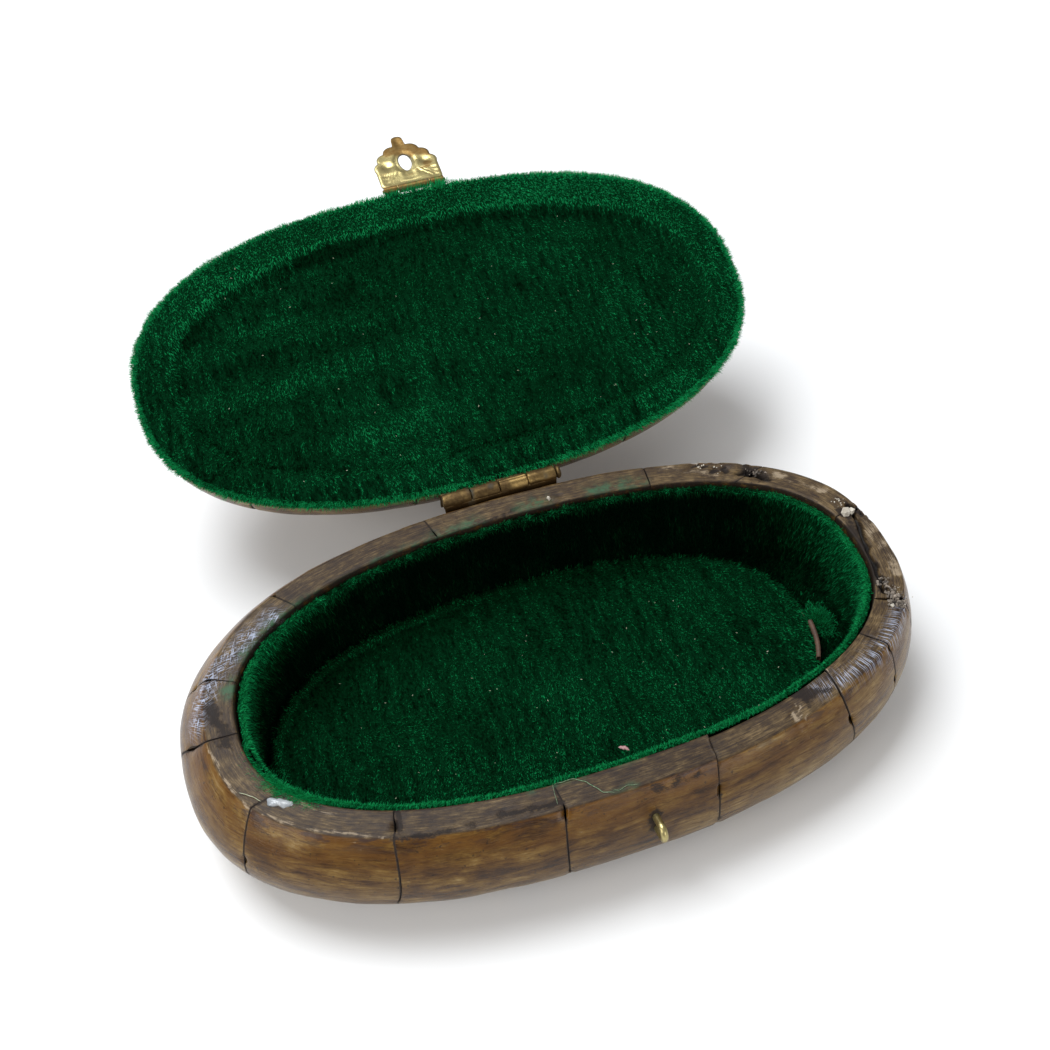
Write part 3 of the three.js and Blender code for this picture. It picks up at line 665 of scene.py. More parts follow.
GREEN_SPECKS = [[(553, 784), (566, 780), (584, 778)],
                [(614, 791), (624, 788), (636, 786)],
                [(622, 764), (636, 757)],
                [(524, 792), (532, 790)]]
CRACK = [[(848, 504), (856, 516), (863, 534), (868, 550), (876, 568), (884, 590)],
         [(738, 472), (750, 472), (766, 478)],
         [(850, 506), (866, 504)]]
CHIPPED = [[(886, 584), (904, 604)],
           [(746, 466), (758, 474)],
           [(858, 506), (864, 512)],
           [(545, 502), (552, 499)],
           [(690, 466), (730, 470)]]
PITTED = [[(797, 708), (804, 716)]]
GLUED = [[(822, 664), (834, 678), (850, 702)]]


def stroke(points, lines, width, wander=0.6):
    """1 on lines drawn over the rim, each given by where it shows in the photograph, and 0 beside
    them. A little noise bends each line, and its strength changes along it."""
    sway = np.stack([lumps(points, 1.9, 5), lumps(points, 1.9, 6), np.zeros(points.shape[:-1])], -1)
    moved = points + wander * width * sway
    near = np.full(points.shape[:-1], 1e9)
    for line in lines:
        corners = np.array([seen_at(p) for p in line])
        for a, b in zip(corners[:-1], corners[1:]):
            run = b - a
            t = np.clip((moved - a) @ run / (run @ run), 0, 1)
            apart = (moved - a - t[..., None] * run) * [1, 1, 0.4]
            near = np.minimum(near, np.linalg.norm(apart, axis=-1))
    return np.exp(-(near / width) ** 2) * (0.85 + 0.25 * lumps(points, 2.7, 7))


# %% The fourteen pieces of the wall
# How pale each piece is, from 0 to 1
TONES = [0.74, 0.68, 0.58, 0.46, 0.6, 0.5, 0.54, 0.47, 0.44, 0.4, 0.62, 0.74, 0.66, 0.7]
DAMAGED = (13, 14, 1)
# Points round the section, and the step along the piece in mm
FINE_MESH, PLAIN_MESH = (300, 0.36), (170, 0.7)
LOW_RIM = 11
LOW_RIM_DROP = 1.2
ARRIS, LOW_RIM_ARRIS = 0.42, 0.75
HINGE_PIECE = 3
HINGE_X = -0.6
SEAT_HALF, SEAT_DROP = 14.5, 10.0
STAPLE_PITS = [(3.8, -45.4, 21.2), (3.4, -46.2, 18.4), (3.2, -45.9, 20.0)]


def file_seat(points):
    """Presses the swollen side flat where the hinge leaf lies against it."""
    near = ease(SEAT_HALF + 0.8 - np.abs(points[..., 0] - HINGE_X), 0, 0.8)
    near = near * ease(points[..., 2], BASE_HEIGHT - SEAT_DROP - 0.8, BASE_HEIGHT - SEAT_DROP)
    flat = np.minimum(points[..., 1], HALF_WIDTH + 1.0)
    back = points[..., 1] > HALF_WIDTH - 8
    points[..., 1] = np.where(back, points[..., 1] * (1 - near) + flat * near, points[..., 1])
    return points


def wall_lean(section):
    """Sideways shift of the wall's section, which fades out before the upright inner face."""
    shift = np.where(section[..., 0] > -WALL + 0.2, wall_shift(BASE_HEIGHT - section[..., 1]), 0.0)
    return shift * ease(section[..., 0], -WALL, -WALL + 3.0)


def wall_piece(number):
    """One bone segment of the base: the carried section, its lumps and damage, and its marks."""
    count, step = FINE_MESH if number in DAMAGED else PLAIN_MESH
    loop = rounded_loop(wall_outline(), count, LOW_RIM_ARRIS if number == LOW_RIM else ARRIS)
    points, along, edge = carried_piece(number, loop, wall_lean, step)
    level = BASE_HEIGHT - LOW_RIM_DROP * (number == LOW_RIM)
    if number == LOW_RIM:
        share = (along - along.min()) / (along.max() - along.min())
        points[..., 2] -= LOW_RIM_DROP * (1 - 0.75 * share) * ease(points[..., 2], 12, BASE_HEIGHT)
    if number == HINGE_PIECE:
        points = file_seat(points)
    rows, columns = points.shape[:2]
    normal = outward_normals(points)
    outer = ease(loop[:, 0], -WALL + 0.1, -WALL + 0.8)
    rim = ease(points[..., 2], level - 0.7, level - 0.3) * (loop[:, 0] < 0.05)
    crack = np.clip(3.2 * stroke(points, CRACK, 0.42, 1.2), 0, 1) * rim
    chips = stroke(points, CHIPPED, 1.7) * ease(lumps(points, 1.1, 9), -0.3, 0.4)
    pits = stroke(points, PITTED, 2.0) * ease(lumps(points, 0.7, 11), -0.4, 0.3)
    fray = ease(0.9 - edge, 0, 0.9) * ease(lumps(points, 2.6, 3), 0.1, 0.7)
    lift = (0.14 * lumps(points, 9.0, 2) + 0.06 * lumps(points, 3.4, 4) * (1 - rim)
            - 1.3 * crack - 0.9 * chips - 0.35 * pits - 0.4 * fray) * outer
    points = points + normal * lift[..., None]
    if number != LOW_RIM:
        points[..., 2] = np.minimum(points[..., 2], BASE_HEIGHT)
    down = np.where(rim > 0.5, -loop[:, 0], BASE_HEIGHT - points[..., 2])
    inner = np.broadcast_to(ease(-WALL + 0.3 - loop[:, 0], 0, 0.2), rim.shape)
    dirt = np.max([1.3 * ease(0.24 - edge, 0, 0.18), 0.8 * stroke(points, DARK_WIDE, 1.8),
                   0.75 * stroke(points, DARK_THIN, 0.8), 0.9 * chips, 0.6 * inner,
                   *(0.95 * spot(points, p, 1.5) for p in STAPLE_PITS)], axis=0)
    pale = np.max([0.62 * stroke(points, WORN, 0.4, 0.8), 0.56 * stroke(points, CREAM, 1.3),
                   1.2 * stroke(points, GLUED, 0.5) * ease(0.9 - edge, 0, 0.5), 0.95 * pits], axis=0)
    everything, faces = close_ends(points, rows, columns)
    dust = np.maximum(1.5 * stroke(points, GREEN_DUST, 1.5), stroke(points, GREEN_SPECKS, 0.7)) * rim
    values = {"along": along, "down": down, "rim": rim, "dirt": dirt, "pale": pale, "crack": crack,
              "hatch": stroke(points, HATCHED, 2.2, 0.2), "rake": stroke(points, RAKED, 1.9, 0.2),
              "dust": dust}
    name = f"wall_{number:02d}"
    return make_piece(f"bone_{name}", everything, faces, bone, "base", "bone", [name],
                      tone=TONES[number - 1], **with_centres(values))


for number in range(1, len(JOINTS) + 1):
    piece = wall_piece(number)
print("wall pieces", len(JOINTS), "faces in the last", len(piece.data.polygons))

# %% [markdown]
# ## The lid's bone
# The lid is a ring of fourteen thin edge pieces, rounded over the top, round a shallow dome of
# five plates butted across the box. None of the outside shows in the photograph, so these
# follow what such boxes have: plates that run across, with the same dark glue lines. They are
# made closed and then swung open about the hinge.


# %% Edge pieces and crown plates of the lid
def edge_outline():
    """The lid edge's section: outside rounded over by a cubic, a short crest, upright inside."""
    height = np.linspace(0, EDGE_HEIGHT, 24)
    side = np.stack([-EDGE_ROUNDING * (height / EDGE_HEIGHT) ** 3, LID_RIM + height], -1)
    crest = LID_RIM + EDGE_HEIGHT + EDGE_CREST
    return np.vstack([side, [[-WALL, crest], [-WALL, LID_RIM]]])


def upright(section):
    """No sideways shift."""
    return np.zeros(section.shape[:-1])


def lid_edge(number):
    """One bone segment of the lid's edge, made closed and then opened."""
    loop = rounded_loop(edge_outline(), 80, 0.35)
    points, along, edge = carried_piece(number, loop, upright, 1.0, False)
    rows, columns = points.shape[:2]
    normal = outward_normals(points)
    outer = ease(loop[:, 0], -WALL + 0.1, -WALL + 0.8)
    fray = ease(0.7 - edge, 0, 0.7) * ease(lumps(points, 2.4, 23), 0.1, 0.7)
    lift = 0.09 * lumps(points, 8.0, 22) + 0.04 * lumps(points, 3.0, 24) - 0.25 * fray
    points = points + normal * (lift * outer)[..., None]
    rim = np.broadcast_to(ease(LID_RIM + 0.5 - loop[:, 1], 0, 0.4), (rows, columns))
    values = {"along": along, "down": LID_RIM + EDGE_HEIGHT - points[..., 2] + 3.0, "rim": rim,
              "dirt": ease(0.3 - edge, 0, 0.25)}
    everything, faces = close_ends(points, rows, columns)
    name = f"lid_edge_{number:02d}"
    return make_piece(f"bone_{name}", opened(everything), faces, bone, "lid", "bone", [name],
                      tone=TONES[(number * 5) % len(TONES)], **with_centres(values))


def inset_of(x, y, length=HALF_LENGTH, width=HALF_WIDTH):
    """How far inside the oval points lie, by halving an interval: the oval through each point."""
    low = np.full(np.shape(x), -width + 0.05)
    high = np.full(np.shape(x), 8.0)
    for _ in range(22):
        middle = (low + high) / 2
        level = np.abs(x / (length + middle)) ** OVAL_POWER + np.abs(y / (width + middle)) ** OVAL_POWER
        low, high = np.where(level > 1, middle, low), np.where(level > 1, high, middle)
    return -(low + high) / 2


def half_chord(x, offset):
    """Half the oval's width at a distance along it."""
    share = np.clip(np.abs(x) / (HALF_LENGTH + offset), 0, 1)
    return (HALF_WIDTH + offset) * (1 - share ** OVAL_POWER) ** (1 / OVAL_POWER)


CROWN_TONES = [0.5, 0.62, 0.42, 0.58, 0.47]
PLATE_SPAN = 80.0


def crown_plate(number):
    """A strip of the dome between two cuts: a closed loop across it, carried along x. Its stations
    across are spaced in mm on a strip of one span, then fitted to the oval's width at each x."""
    border = -(WALL + FIT)
    tip = HALF_LENGTH + border - 0.05
    low, high = ([-tip] + CROWN_CUTS + [tip])[number - 1:number + 1]
    across = np.linspace(0, 1, 50)
    if number == 1:
        x = high - (high - low) * np.sin((1 - across) * math.pi / 2)
    elif number == 5:
        x = low + (high - low) * np.sin(across * math.pi / 2)
    else:
        x = low + (high - low) * across
    x = np.clip(x, low + GLUE_GAP / 2, high - GLUE_GAP / 2)
    ends = np.array([0, 0.02, 0.05, 0.09, 0.14, 0.22])
    middle = np.linspace(0.4, PLATE_SPAN - 0.4, 70)
    share = np.concatenate([ends, middle, PLATE_SPAN - ends[::-1]]) / (PLATE_SPAN / 2) - 1
    half = half_chord(x, border)
    grid_x = np.broadcast_to(x[:, None], (len(x), len(share)))
    grid_y = half[:, None] * share[None]
    inset = np.clip(inset_of(grid_x, grid_y) / HALF_WIDTH, 0, 1)
    top = LID_RIM + EDGE_HEIGHT + EDGE_CREST + CROWN_RISE * (1 - (1 - inset) ** 2)
    side_gap = half[:, None] * (1 - np.abs(share))
    rim_gap = np.minimum(np.minimum(grid_x - x.min(), x.max() - grid_x), side_gap)
    top = top - CROWN_ARRIS * (1 - np.sqrt(1 - np.clip(1 - rim_gap / CROWN_ARRIS, 0, 1) ** 2))
    top = top + 0.09 * lumps(np.stack([grid_x, grid_y, top], -1), 9.0, 40 + number)
    bottom = top - CROWN_PLATE
    upper = np.stack([grid_x, grid_y, top], -1)
    lower = np.stack([grid_x, grid_y, bottom], -1)[:, ::-1]
    points = np.concatenate([upper, lower], 1)
    rows, columns = points.shape[:2]
    everything, faces = close_ends(points, rows, columns)
    gap = np.concatenate([rim_gap, rim_gap[:, ::-1]], 1)
    values = {"along": points[..., 1] + number * 90.0, "down": points[..., 0] * 0.9 + 5 + number * 31.0,
              "dirt": ease(0.3 - gap, 0, 0.25)}
    marks = {k: np.concatenate([v.ravel(), [v.ravel()[0]] * 2]) for k, v in values.items()}
    name = f"crown_{number}"
    return make_piece(f"bone_{name}", opened(everything), faces, bone, "lid", "bone", [name],
                      tone=CROWN_TONES[number - 1], **marks)


for number in range(1, len(JOINTS) + 1):
    piece = lid_edge(number)
for number in range(1, len(CROWN_CUTS) + 2):
    plate = crown_plate(number)
print("lid bone", len(piece.data.polygons), "faces in an edge,", len(plate.data.polygons), "in a plate")

# %% [markdown]
# ## Velvet
# Velvet is a cloth with a standing pile. Its colour hardly comes from the surface: light that falls
# between the threads is lost, and only tips that lean to the light show bright. So the pile here is
# real: hundreds of thousands of tapered blades, each a triangle, leaning along a nap that wanders.
# The cloth under them is painted nearly black green, as painted shade for the light lost between
# the threads, and each thread is painted darker at its root than at its tip. Cut edges get longer,
# wilder blades, as frayed velvet has.


# %% The velvet material and the pile
def velvet_material(name, deep, bright):
    """The colour goes from deep to bright with each thread's shade: painted light and shade times the
    thread's own tone, darker at its root as painted shade in the pile.
    """
    p = Paint(name)
    shade = p.attribute("shade")
    at = p.place()
    fleck = p.noise(at, 1500.0, 2.0, 0.6)
    middle = tuple(0.5 * (a + b) for a, b in zip(deep, bright))
    color = p.ramp((shade * (fleck * 0.7 + 0.65)).clip(), [(0.0, deep), (0.45, middle), (1.0, bright)])
    shader = p.finish(Base_Color=color, Roughness=0.8, IOR=1.35, Sheen_Weight=0.004, Sheen_Roughness=0.4,
                      Sheen_Tint=(0.1, 0.8, 0.35))
    p.feed(p.shader.inputs["Specular IOR Level"], 0.02)
    return shader


velvet = velvet_material("green_velvet", (0.00005, 0.0035, 0.0011), (0.011, 0.35, 0.104))
rng = np.random.default_rng(7)
# How a thread's painted shade changes from its two root corners to its tip: dark at the root, deep
# in the pile, and bright at the tip
THREAD_SHADE = np.array([0.3, 0.3, 1.6])


def pile(name, roots, normals, nap, shade, body, length=1.0, width=0.17, lean=0.8, wild=0.35):
    """One triangle a thread. It starts at the root and leans from the normal along the nap, with a
    random part; its flat side faces any way round. Shade is 0 at no light and 1 at the brightest."""
    count = len(roots)
    nap = nap - np.sum(nap * normals, -1, keepdims=True) * normals
    direction = normals + lean * nap + wild * rng.normal(size=(count, 3))
    direction /= np.linalg.norm(direction, axis=1, keepdims=True)
    side = np.cross(direction, rng.normal(size=(count, 3)))
    side /= np.linalg.norm(side, axis=1, keepdims=True)
    reach = np.broadcast_to(length, count) * rng.uniform(0.65, 1.15, count)
    half = (width / 2 * rng.uniform(0.7, 1.3, count))[:, None]
    points = np.stack([roots - side * half, roots + side * half, roots + direction * reach[:, None]], 1)
    faces = np.arange(count * 3).reshape(-1, 3)
    own = rng.lognormal(-0.4, 0.85, count) * (1 + 0.45 * lumps(roots, 0.45, 97))
    # Painted light and shade times the thread's own tone, darker at the root
    shade_and_tone = np.repeat((shade * own)[:, None], 3, 1) * THREAD_SHADE
    return make_piece(name, points, [faces], velvet, body, "velvet", smooth=False, shade=shade_and_tone.ravel())


# %% [markdown]
# ## The lid's lining
# A piece of velvet covers the inside of the lid: over a flat border, then down a soft fold into a
# shallow recess. The border is painted brighter than the recess, as painted light, with a painted
# highlight along the fold on the far side and painted shade just inside the fold. The cloth wasn't
# stretched evenly, so slack runs across the left half in low waves, with painted shading over them.


# %% Lid lining with its pile
LID_FOLD = -7.6
# The cloth under the threads is painted nearly black, as painted shade for the light lost between them.
SHEET_SHADE = 0.06
LID_THREADS, LID_FRINGE_THREADS = 150000, 26000


def lid_cloth_height(x, y, offset):
    """Height of the cloth in the closed lid: border, soft fold and recess floor, with slack waves."""
    fold = ease(-offset, -LID_FOLD - 0.8, -LID_FOLD + RECESS_SLOPE + 1.6)
    waves = (0.42 * np.sin(y * 0.62 + 0.03 * x + 1.5 * lumps(np.stack([x, y, 0 * x], -1), 22.0, 31))
             * ease(-x, -10.0, 25.0) * ease(x, -66.0, -48.0) * fold)
    roll = 0.7 * ease(offset, -1.0, 0.4) ** 2
    soft = 0.18 * lumps(np.stack([x, y, 0 * x], -1), 7.0, 33)
    return LID_FACE + 0.55 + (RECESS_DEPTH - 0.4) * fold + waves + roll + soft


def lid_lining():
    """The cloth itself: rings in from the rim, close together over the fold."""
    offsets = np.concatenate([np.linspace(0.15, -5.5, 12), np.linspace(-6.0, -12.0, 26)])
    inner = np.linspace(1, 0, 34)[1:]
    bearing = np.linspace(0, 2 * math.pi, 340, endpoint=False)
    ring_x, ring_y = oval(bearing[None], offsets[:, None] * (1 + 0.03 * np.sin(9 * bearing[None])))
    x = np.concatenate([ring_x, ring_x[-1:] * inner[:, None]])
    y = np.concatenate([ring_y, ring_y[-1:] * inner[:, None]])
    z = lid_cloth_height(x, y, -inset_of(x, y))
    points = np.stack([x, y, z], -1)
    faces = grid_faces(*x.shape, close_columns=True)
    return make_piece("velvet_lid_lining", opened(points.reshape(-1, 3)), [faces], velvet, "lid",
                      "velvet", ["lid_lining"], shade=SHEET_SHADE)


def random_in_lid(count):
    """Even random points of the lid's oval, thrown in a box and kept where they fall inside."""
    x = rng.uniform(-HALF_LENGTH, HALF_LENGTH, int(count * 1.35))
    y = rng.uniform(-HALF_WIDTH, HALF_WIDTH, int(count * 1.35))
    keep = np.abs(x / HALF_LENGTH) ** OVAL_POWER + np.abs(y / HALF_WIDTH) ** OVAL_POWER < 1
    return x[keep][:count], y[keep][:count]


def lid_pile():
    """The lid's threads. Their shade is painted light and shade: a brighter border, a painted highlight
    on the far fold, painted shade under the fold and painted shading of the slack, with the nap's marks
    and lumps of the cloth's own tone.
    """
    x, y = random_in_lid(LID_THREADS)
    offset = -inset_of(x, y)
    z = lid_cloth_height(x, y, offset)
    step = 0.05
    slope_x = (lid_cloth_height(x + step, y, -inset_of(x + step, y)) - z) / step
    slope_y = (lid_cloth_height(x, y + step, -inset_of(x, y + step)) - z) / step
    normal = np.stack([slope_x, slope_y, -np.ones_like(x)], -1)
    normal /= np.linalg.norm(normal, axis=1, keepdims=True)
    flat = np.stack([x, y, 0 * x], -1)
    swirl = 0.9 * lumps(flat, 16.0, 35) + 0.5 * lumps(flat, 5.0, 36)
    nap = np.stack([0.25 * swirl, 1.0 + 0.3 * swirl, 0 * x], -1)
    border = ease(offset, LID_FOLD - 1.4, LID_FOLD + 0.3)
    streak = lumps(flat * [1.0, 0.16, 1.0], 0.8, 37)
    # Painted shading of broad slack bands across the left half.
    band_shading = lumps(flat * [0.3, 1.0, 1.0], 6.0, 38) * ease(-x, -15.0, 30.0)
    bearing = np.arctan2(y / HALF_WIDTH, x / HALF_LENGTH)
    far, right = ease(-np.sin(bearing), 0.1, 0.9), ease(np.cos(bearing), 0.2, 0.9)
    # Painted shade just inside the fold.
    under_fold_shade = np.exp(-((offset - LID_FOLD + 2.8) / 1.6) ** 2)
    nap_marks = 0.13 * streak + 0.1 * lumps(flat * [1.0, 0.3, 1.0], 0.4, 42)
    rim_light = 0.34 * ease(offset, -1.6, -0.2)
    # Painted shading of the slack waves across the left half: bright crests and dark troughs.
    slack = np.maximum(np.sin(y * 0.44 + 1.3 * lumps(flat * [0.5, 0.5, 1], 9.0, 43)), -0.6)
    slack = slack * ease(-x, -4.0, 18.0) * (1 - border) * (0.5 + 0.5 * lumps(flat, 12.0, 44))
    # Painted light and shade: the border brighter, most on the far and right sides, a painted rim light,
    # the slack's painted shading and painted shade under the fold; the lumps and nap marks are the
    # cloth's own tone.
    shade = (0.185 + border * (0.02 + 0.66 * far + 0.2 * right) + rim_light + 0.16 * band_shading + 0.17 * slack
             + 0.1 * lumps(flat, 9.0, 39) - 0.1 * under_fold_shade * (0.3 + far)
             + nap_marks * (1.3 + 1.2 * border))
    # A painted highlight along the fold, strongest on the far side.
    far_fold_highlight = np.exp(-((offset - LID_FOLD + 0.2) / 0.9) ** 2) * (0.45 + ease(-y, 6.0, 24.0))
    roots = np.stack([x, y, z], -1)
    return pile("velvet_lid_pile", opened(roots), turned(normal), turned(nap),
                np.clip(shade + 0.3 * far_fold_highlight, 0.015, 1), "lid", length=1.2, lean=1.1, wild=0.25)


def turned(directions):
    """Turns directions with the open lid."""
    return opened(directions + [0, HINGE_Y, HINGE_Z]) - [0, HINGE_Y, HINGE_Z]


def lid_fringe():
    """Longer threads along the cut edge, which stand out past the bone."""
    count = LID_FRINGE_THREADS
    bearing = rng.uniform(0, 2 * math.pi, count)
    offset = rng.uniform(-1.2, 0.35, count)
    x, y = oval(bearing, offset)
    out = np.stack([np.cos(bearing), np.sin(bearing), 0 * x], -1)
    z = lid_cloth_height(x, y, offset)
    tuft = 0.5 + 0.5 * lumps(np.stack([x, y, 0 * x], -1), 1.6, 41)
    normal = np.stack([0 * x, 0 * x, -np.ones_like(x)], -1) * 0.55 + out * 0.9
    by_hasp = ease(10.0 - np.abs(x - 4.0), 0, 3) * (y < 0)
    roots = np.stack([x, y, z], -1)
    # Painted light: the cut edge's threads are painted far brighter than the pile, as they stand out
    # into the light; tuft is their own tone.
    shade = 0.75 + 0.6 * tuft
    return pile("velvet_lid_fringe", opened(roots), turned(normal), turned(out), shade, "lid",
                length=0.8 + 0.9 * tuft + 1.5 * by_hasp, width=0.15, lean=0.2, wild=0.4)


lining = lid_lining()
lid_threads = [lid_pile(), lid_fringe()]
print("lid lining", [len(o.data.polygons) for o in [lining] + lid_threads])

# %% [markdown]
# ## The velvet in the base
# A strip of velvet is glued round the inside of the wall, cut a little below the rim, and its cut
# edge frays. A card covered in the same velvet drops in as the floor. The strip sags away from the
# wall in places, and at the right end painted shadow stands for a dark gap below it. Its light and
# shade are painted as well: bright at the cut edge, on the left and at the right end, darker with
# depth, and almost black on the far wall, where little light reaches and the nap leans down.

# %% Wall strip
STRIP_TOP, STRIP_BEND, STRIP_TURN_IN = BASE_HEIGHT - 0.5, 5.6, 9.0
STRIP_THREADS, EDGE_THREADS, TUFT_THREADS = 120000, 33000, 9000


def soft_positive(x, softness=1.0):
    """About x where x is positive and about 0 where it is negative, with a round bend between."""
    return softness * np.logaddexp(0, x / softness)


def strip_points(bearing, run):
    """run is the height on the wall. Below the bend the strip turns in over the board instead."""
    top = ease(run, STRIP_TOP - 1.5, STRIP_TOP)
    height = STRIP_BEND - 0.7 + soft_positive(run - STRIP_BEND)
    inward = soft_positive(STRIP_BEND - run)
    low = np.clip((STRIP_TOP - height) / (STRIP_TOP - STRIP_BEND), 0, 1)
    sag = (0.5 + 0.5 * np.sin(bearing * 5 + 1) * np.sin(bearing * 2)) * low * (1 - low) * 2.2
    offset = -(WALL + FIT + CLOTH) - sag - inward + 0.35 * top
    x, y = oval(bearing, offset)
    flat = np.stack([x, y, 0 * x], -1)
    ripple = 0.3 * lumps(np.stack([x, y, run], -1), 5.0, 51) * (1 - top)
    shrink = 1 - ripple / 55
    height = height + 0.4 * top * lumps(flat, 5.0, 52) + 0.4 * (1 - top) * lumps(flat, 4.0, 57)
    return np.stack([x * shrink, y * shrink, height], -1)


# Places of painted shadow for the dark gap below the strip at the right end.
GAP_SHADOW_AT = [seen_at((838, 592), 13.0), seen_at((840, 612), 11.0)]


def strip_shade(points, bearing, run):
    """Painted light and shade: bright at the cut edge, on the left and at the right end, darker with
    depth, darkest on the far wall, whose nap leans down and which gets little light, and painted shadow
    over the gap at the right end. The streaks and lumps are the cloth's own tone.
    """
    top = ease(run, STRIP_TOP - 2.6, STRIP_TOP)
    left = ease(-np.cos(bearing), 0.35, 0.9) * (0.42 * ease(run, STRIP_TOP - 15.0, STRIP_TOP - 2.0) ** 2
                                                + 0.85 * ease(run, STRIP_TOP - 4.2, STRIP_TOP - 1.2))
    # Painted shadow over the gap below the strip at the right end.
    gap = sum(spot(points, place, 3.0) for place in GAP_SHADOW_AT)
    depth = ease(run, 5.0, STRIP_TOP - 1)
    far = ease(np.sin(bearing), 0.0, 0.8)
    right = ease(np.cos(bearing), 0.3, 0.95) * (1 - far)
    streaks = 0.05 * lumps(points * [1, 1, 0.14], 0.9, 54)
    shade = (0.03 + 0.07 * depth - 0.1 * far * depth + (0.42 - 0.25 * far) * top + 0.5 * left
             + right * (0.05 + 0.16 * depth))
    shade = shade + 0.03 * lumps(points, 5.0, 53) + streaks * (0.5 + top + right + 2 * left)
    return np.clip(shade * (1 - 0.9 * np.clip(gap, 0, 1)) * (1 - 0.45 * far), 0.004, 1)


def wall_strip():
    """The cloth itself, from its turn-in over the board up to the cut edge."""
    bearing, run = np.meshgrid(np.linspace(0, 2 * math.pi, 420, endpoint=False),
                               np.linspace(STRIP_BEND - STRIP_TURN_IN, STRIP_TOP, 50), indexing="ij")
    points = strip_points(bearing, run)
    faces = grid_faces(*bearing.shape, close_rows=True)
    # The cloth under the threads gets a third of their painted light and shade, as painted shade between
    # them.
    return make_piece("velvet_wall_strip", points, [faces], velvet, "base", "velvet", ["wall_lining"],
                      shade=0.3 * strip_shade(points, bearing, run).ravel())


def wall_pile():
    """The strip's threads, with the nap leaning down."""
    count = STRIP_THREADS
    bearing = bearing_by_length(rng.uniform(0, 1, count))
    run = rng.uniform(STRIP_BEND - STRIP_TURN_IN, STRIP_TOP, count)
    points = strip_points(bearing, run)
    round_it = strip_points(bearing + 0.001, run) - points
    up_it = strip_points(bearing, run + 0.05) - points
    normal = np.cross(up_it, round_it)
    normal /= np.linalg.norm(normal, axis=1, keepdims=True)
    nap = np.stack([0.2 * lumps(points, 6.0, 58), 0 * run, -np.ones_like(run)], -1)
    return pile("velvet_wall_pile", points, normal, nap, strip_shade(points, bearing, run), "base",
                length=1.1, lean=1.0, wild=0.25)


def bearing_by_length(share):
    """Bearings spread evenly by length along the oval, not by angle."""
    table = np.linspace(0, 2 * math.pi, 2000)
    x, y = oval(table, -WALL)
    run = np.concatenate([[0], np.cumsum(np.hypot(np.diff(x), np.diff(y)))])
    return np.interp(share * run[-1], run, table)


TUFTS = [(252, 756), (262, 772), (272, 784), (286, 792), (302, 798), (318, 803)]
TUFT_MIDDLE, TUFT_SPREAD = seen_at((285, 790)), 7.0


def wall_fringe():
    """The cut edge: threads that stand up and lean in. Where the edge has come loose, at the left
    front, there are more of them, and they are longer and lie out over the rim."""
    count = EDGE_THREADS + TUFT_THREADS
    loose_at = np.degrees(np.arctan2(TUFT_MIDDLE[1] / HALF_WIDTH, TUFT_MIDDLE[0] / HALF_LENGTH))
    bearing = np.concatenate([bearing_by_length(rng.uniform(0, 1, EDGE_THREADS)),
                              np.radians(loose_at + rng.normal(size=TUFT_THREADS) * TUFT_SPREAD)])
    height = STRIP_TOP - rng.uniform(0, 0.9, count)
    points = strip_points(bearing, height)
    x, y = oval(bearing, -WALL - 0.35)
    points[:, :2] += (np.stack([x, y], -1) - points[:, :2]) * rng.uniform(-0.3, 0.9, count)[:, None]
    tuft = 0.5 + 0.5 * lumps(points, 1.5, 56)
    loose = np.max([spot(points[:, :2], seen_at(p)[:2], 3.2) for p in TUFTS], axis=0)
    inwards = -points * [1, 1, 0] / 45
    points[:, 2] += 0.6 * loose
    points -= (rng.uniform(0.3, 1.5, count) * loose)[:, None] * inwards
    normal = np.stack([0 * x, 0 * x, 1 - 0.5 * loose], -1) + (0.5 - 1.6 * loose)[:, None] * inwards
    # Painted light: the cut edge is painted bright, the far side painted dark, and the loose threads
    # over the rim painted brighter; tuft is the threads' own tone.
    far = ease(np.sin(bearing), 0.1, 0.9)
    shade = 0.8 + 0.6 * tuft - 0.86 * far + 0.45 * loose
    return pile("velvet_wall_fringe", points, normal, inwards, shade, "base",
                length=0.6 + 0.5 * tuft + 1.3 * loose, width=0.15, lean=0.3, wild=0.5)


strip = wall_strip()
edge_pile = [wall_pile(), wall_fringe()]
print("wall strip", [len(o.data.polygons) for o in [strip] + edge_pile])

# %% Floor pad
pad_low, pad_high = (np.array(v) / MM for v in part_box("floor_pad"))
PAD_SHIFT, PAD_SPREAD = np.array([-0.5, 0.0, 0.0]), np.array([0.5, 2.2, 0.0])
PAD_MIDDLE = (pad_low + pad_high) / 2 + PAD_SHIFT
PAD_HALF = (pad_high - pad_low) / 2 + PAD_SPREAD
PAD_ROUND = 1.1
PAD_THREADS = 135000


def pad_height(x, y):
    """Top of the pad: a soft crown, a rounded border, and the dips that fingers leave."""
    edge = inset_of(x - PAD_MIDDLE[0], y - PAD_MIDDLE[1], PAD_HALF[0], PAD_HALF[1])
    border = PAD_ROUND * (1 - np.sqrt(1 - np.clip(1 - edge / (PAD_ROUND * 2), 0, 1) ** 2))
    flat = np.stack([x, y, 0 * x], -1)
    turned_edge = 0.55 * np.exp(-(edge - 2.3) ** 2) * ease(-x, 0.0, 40.0)
    return (pad_high[2] - 0.55 - border + turned_edge + 0.3 * lumps(flat, 14.0, 61)
            + 0.12 * lumps(flat, 5.0, 62))


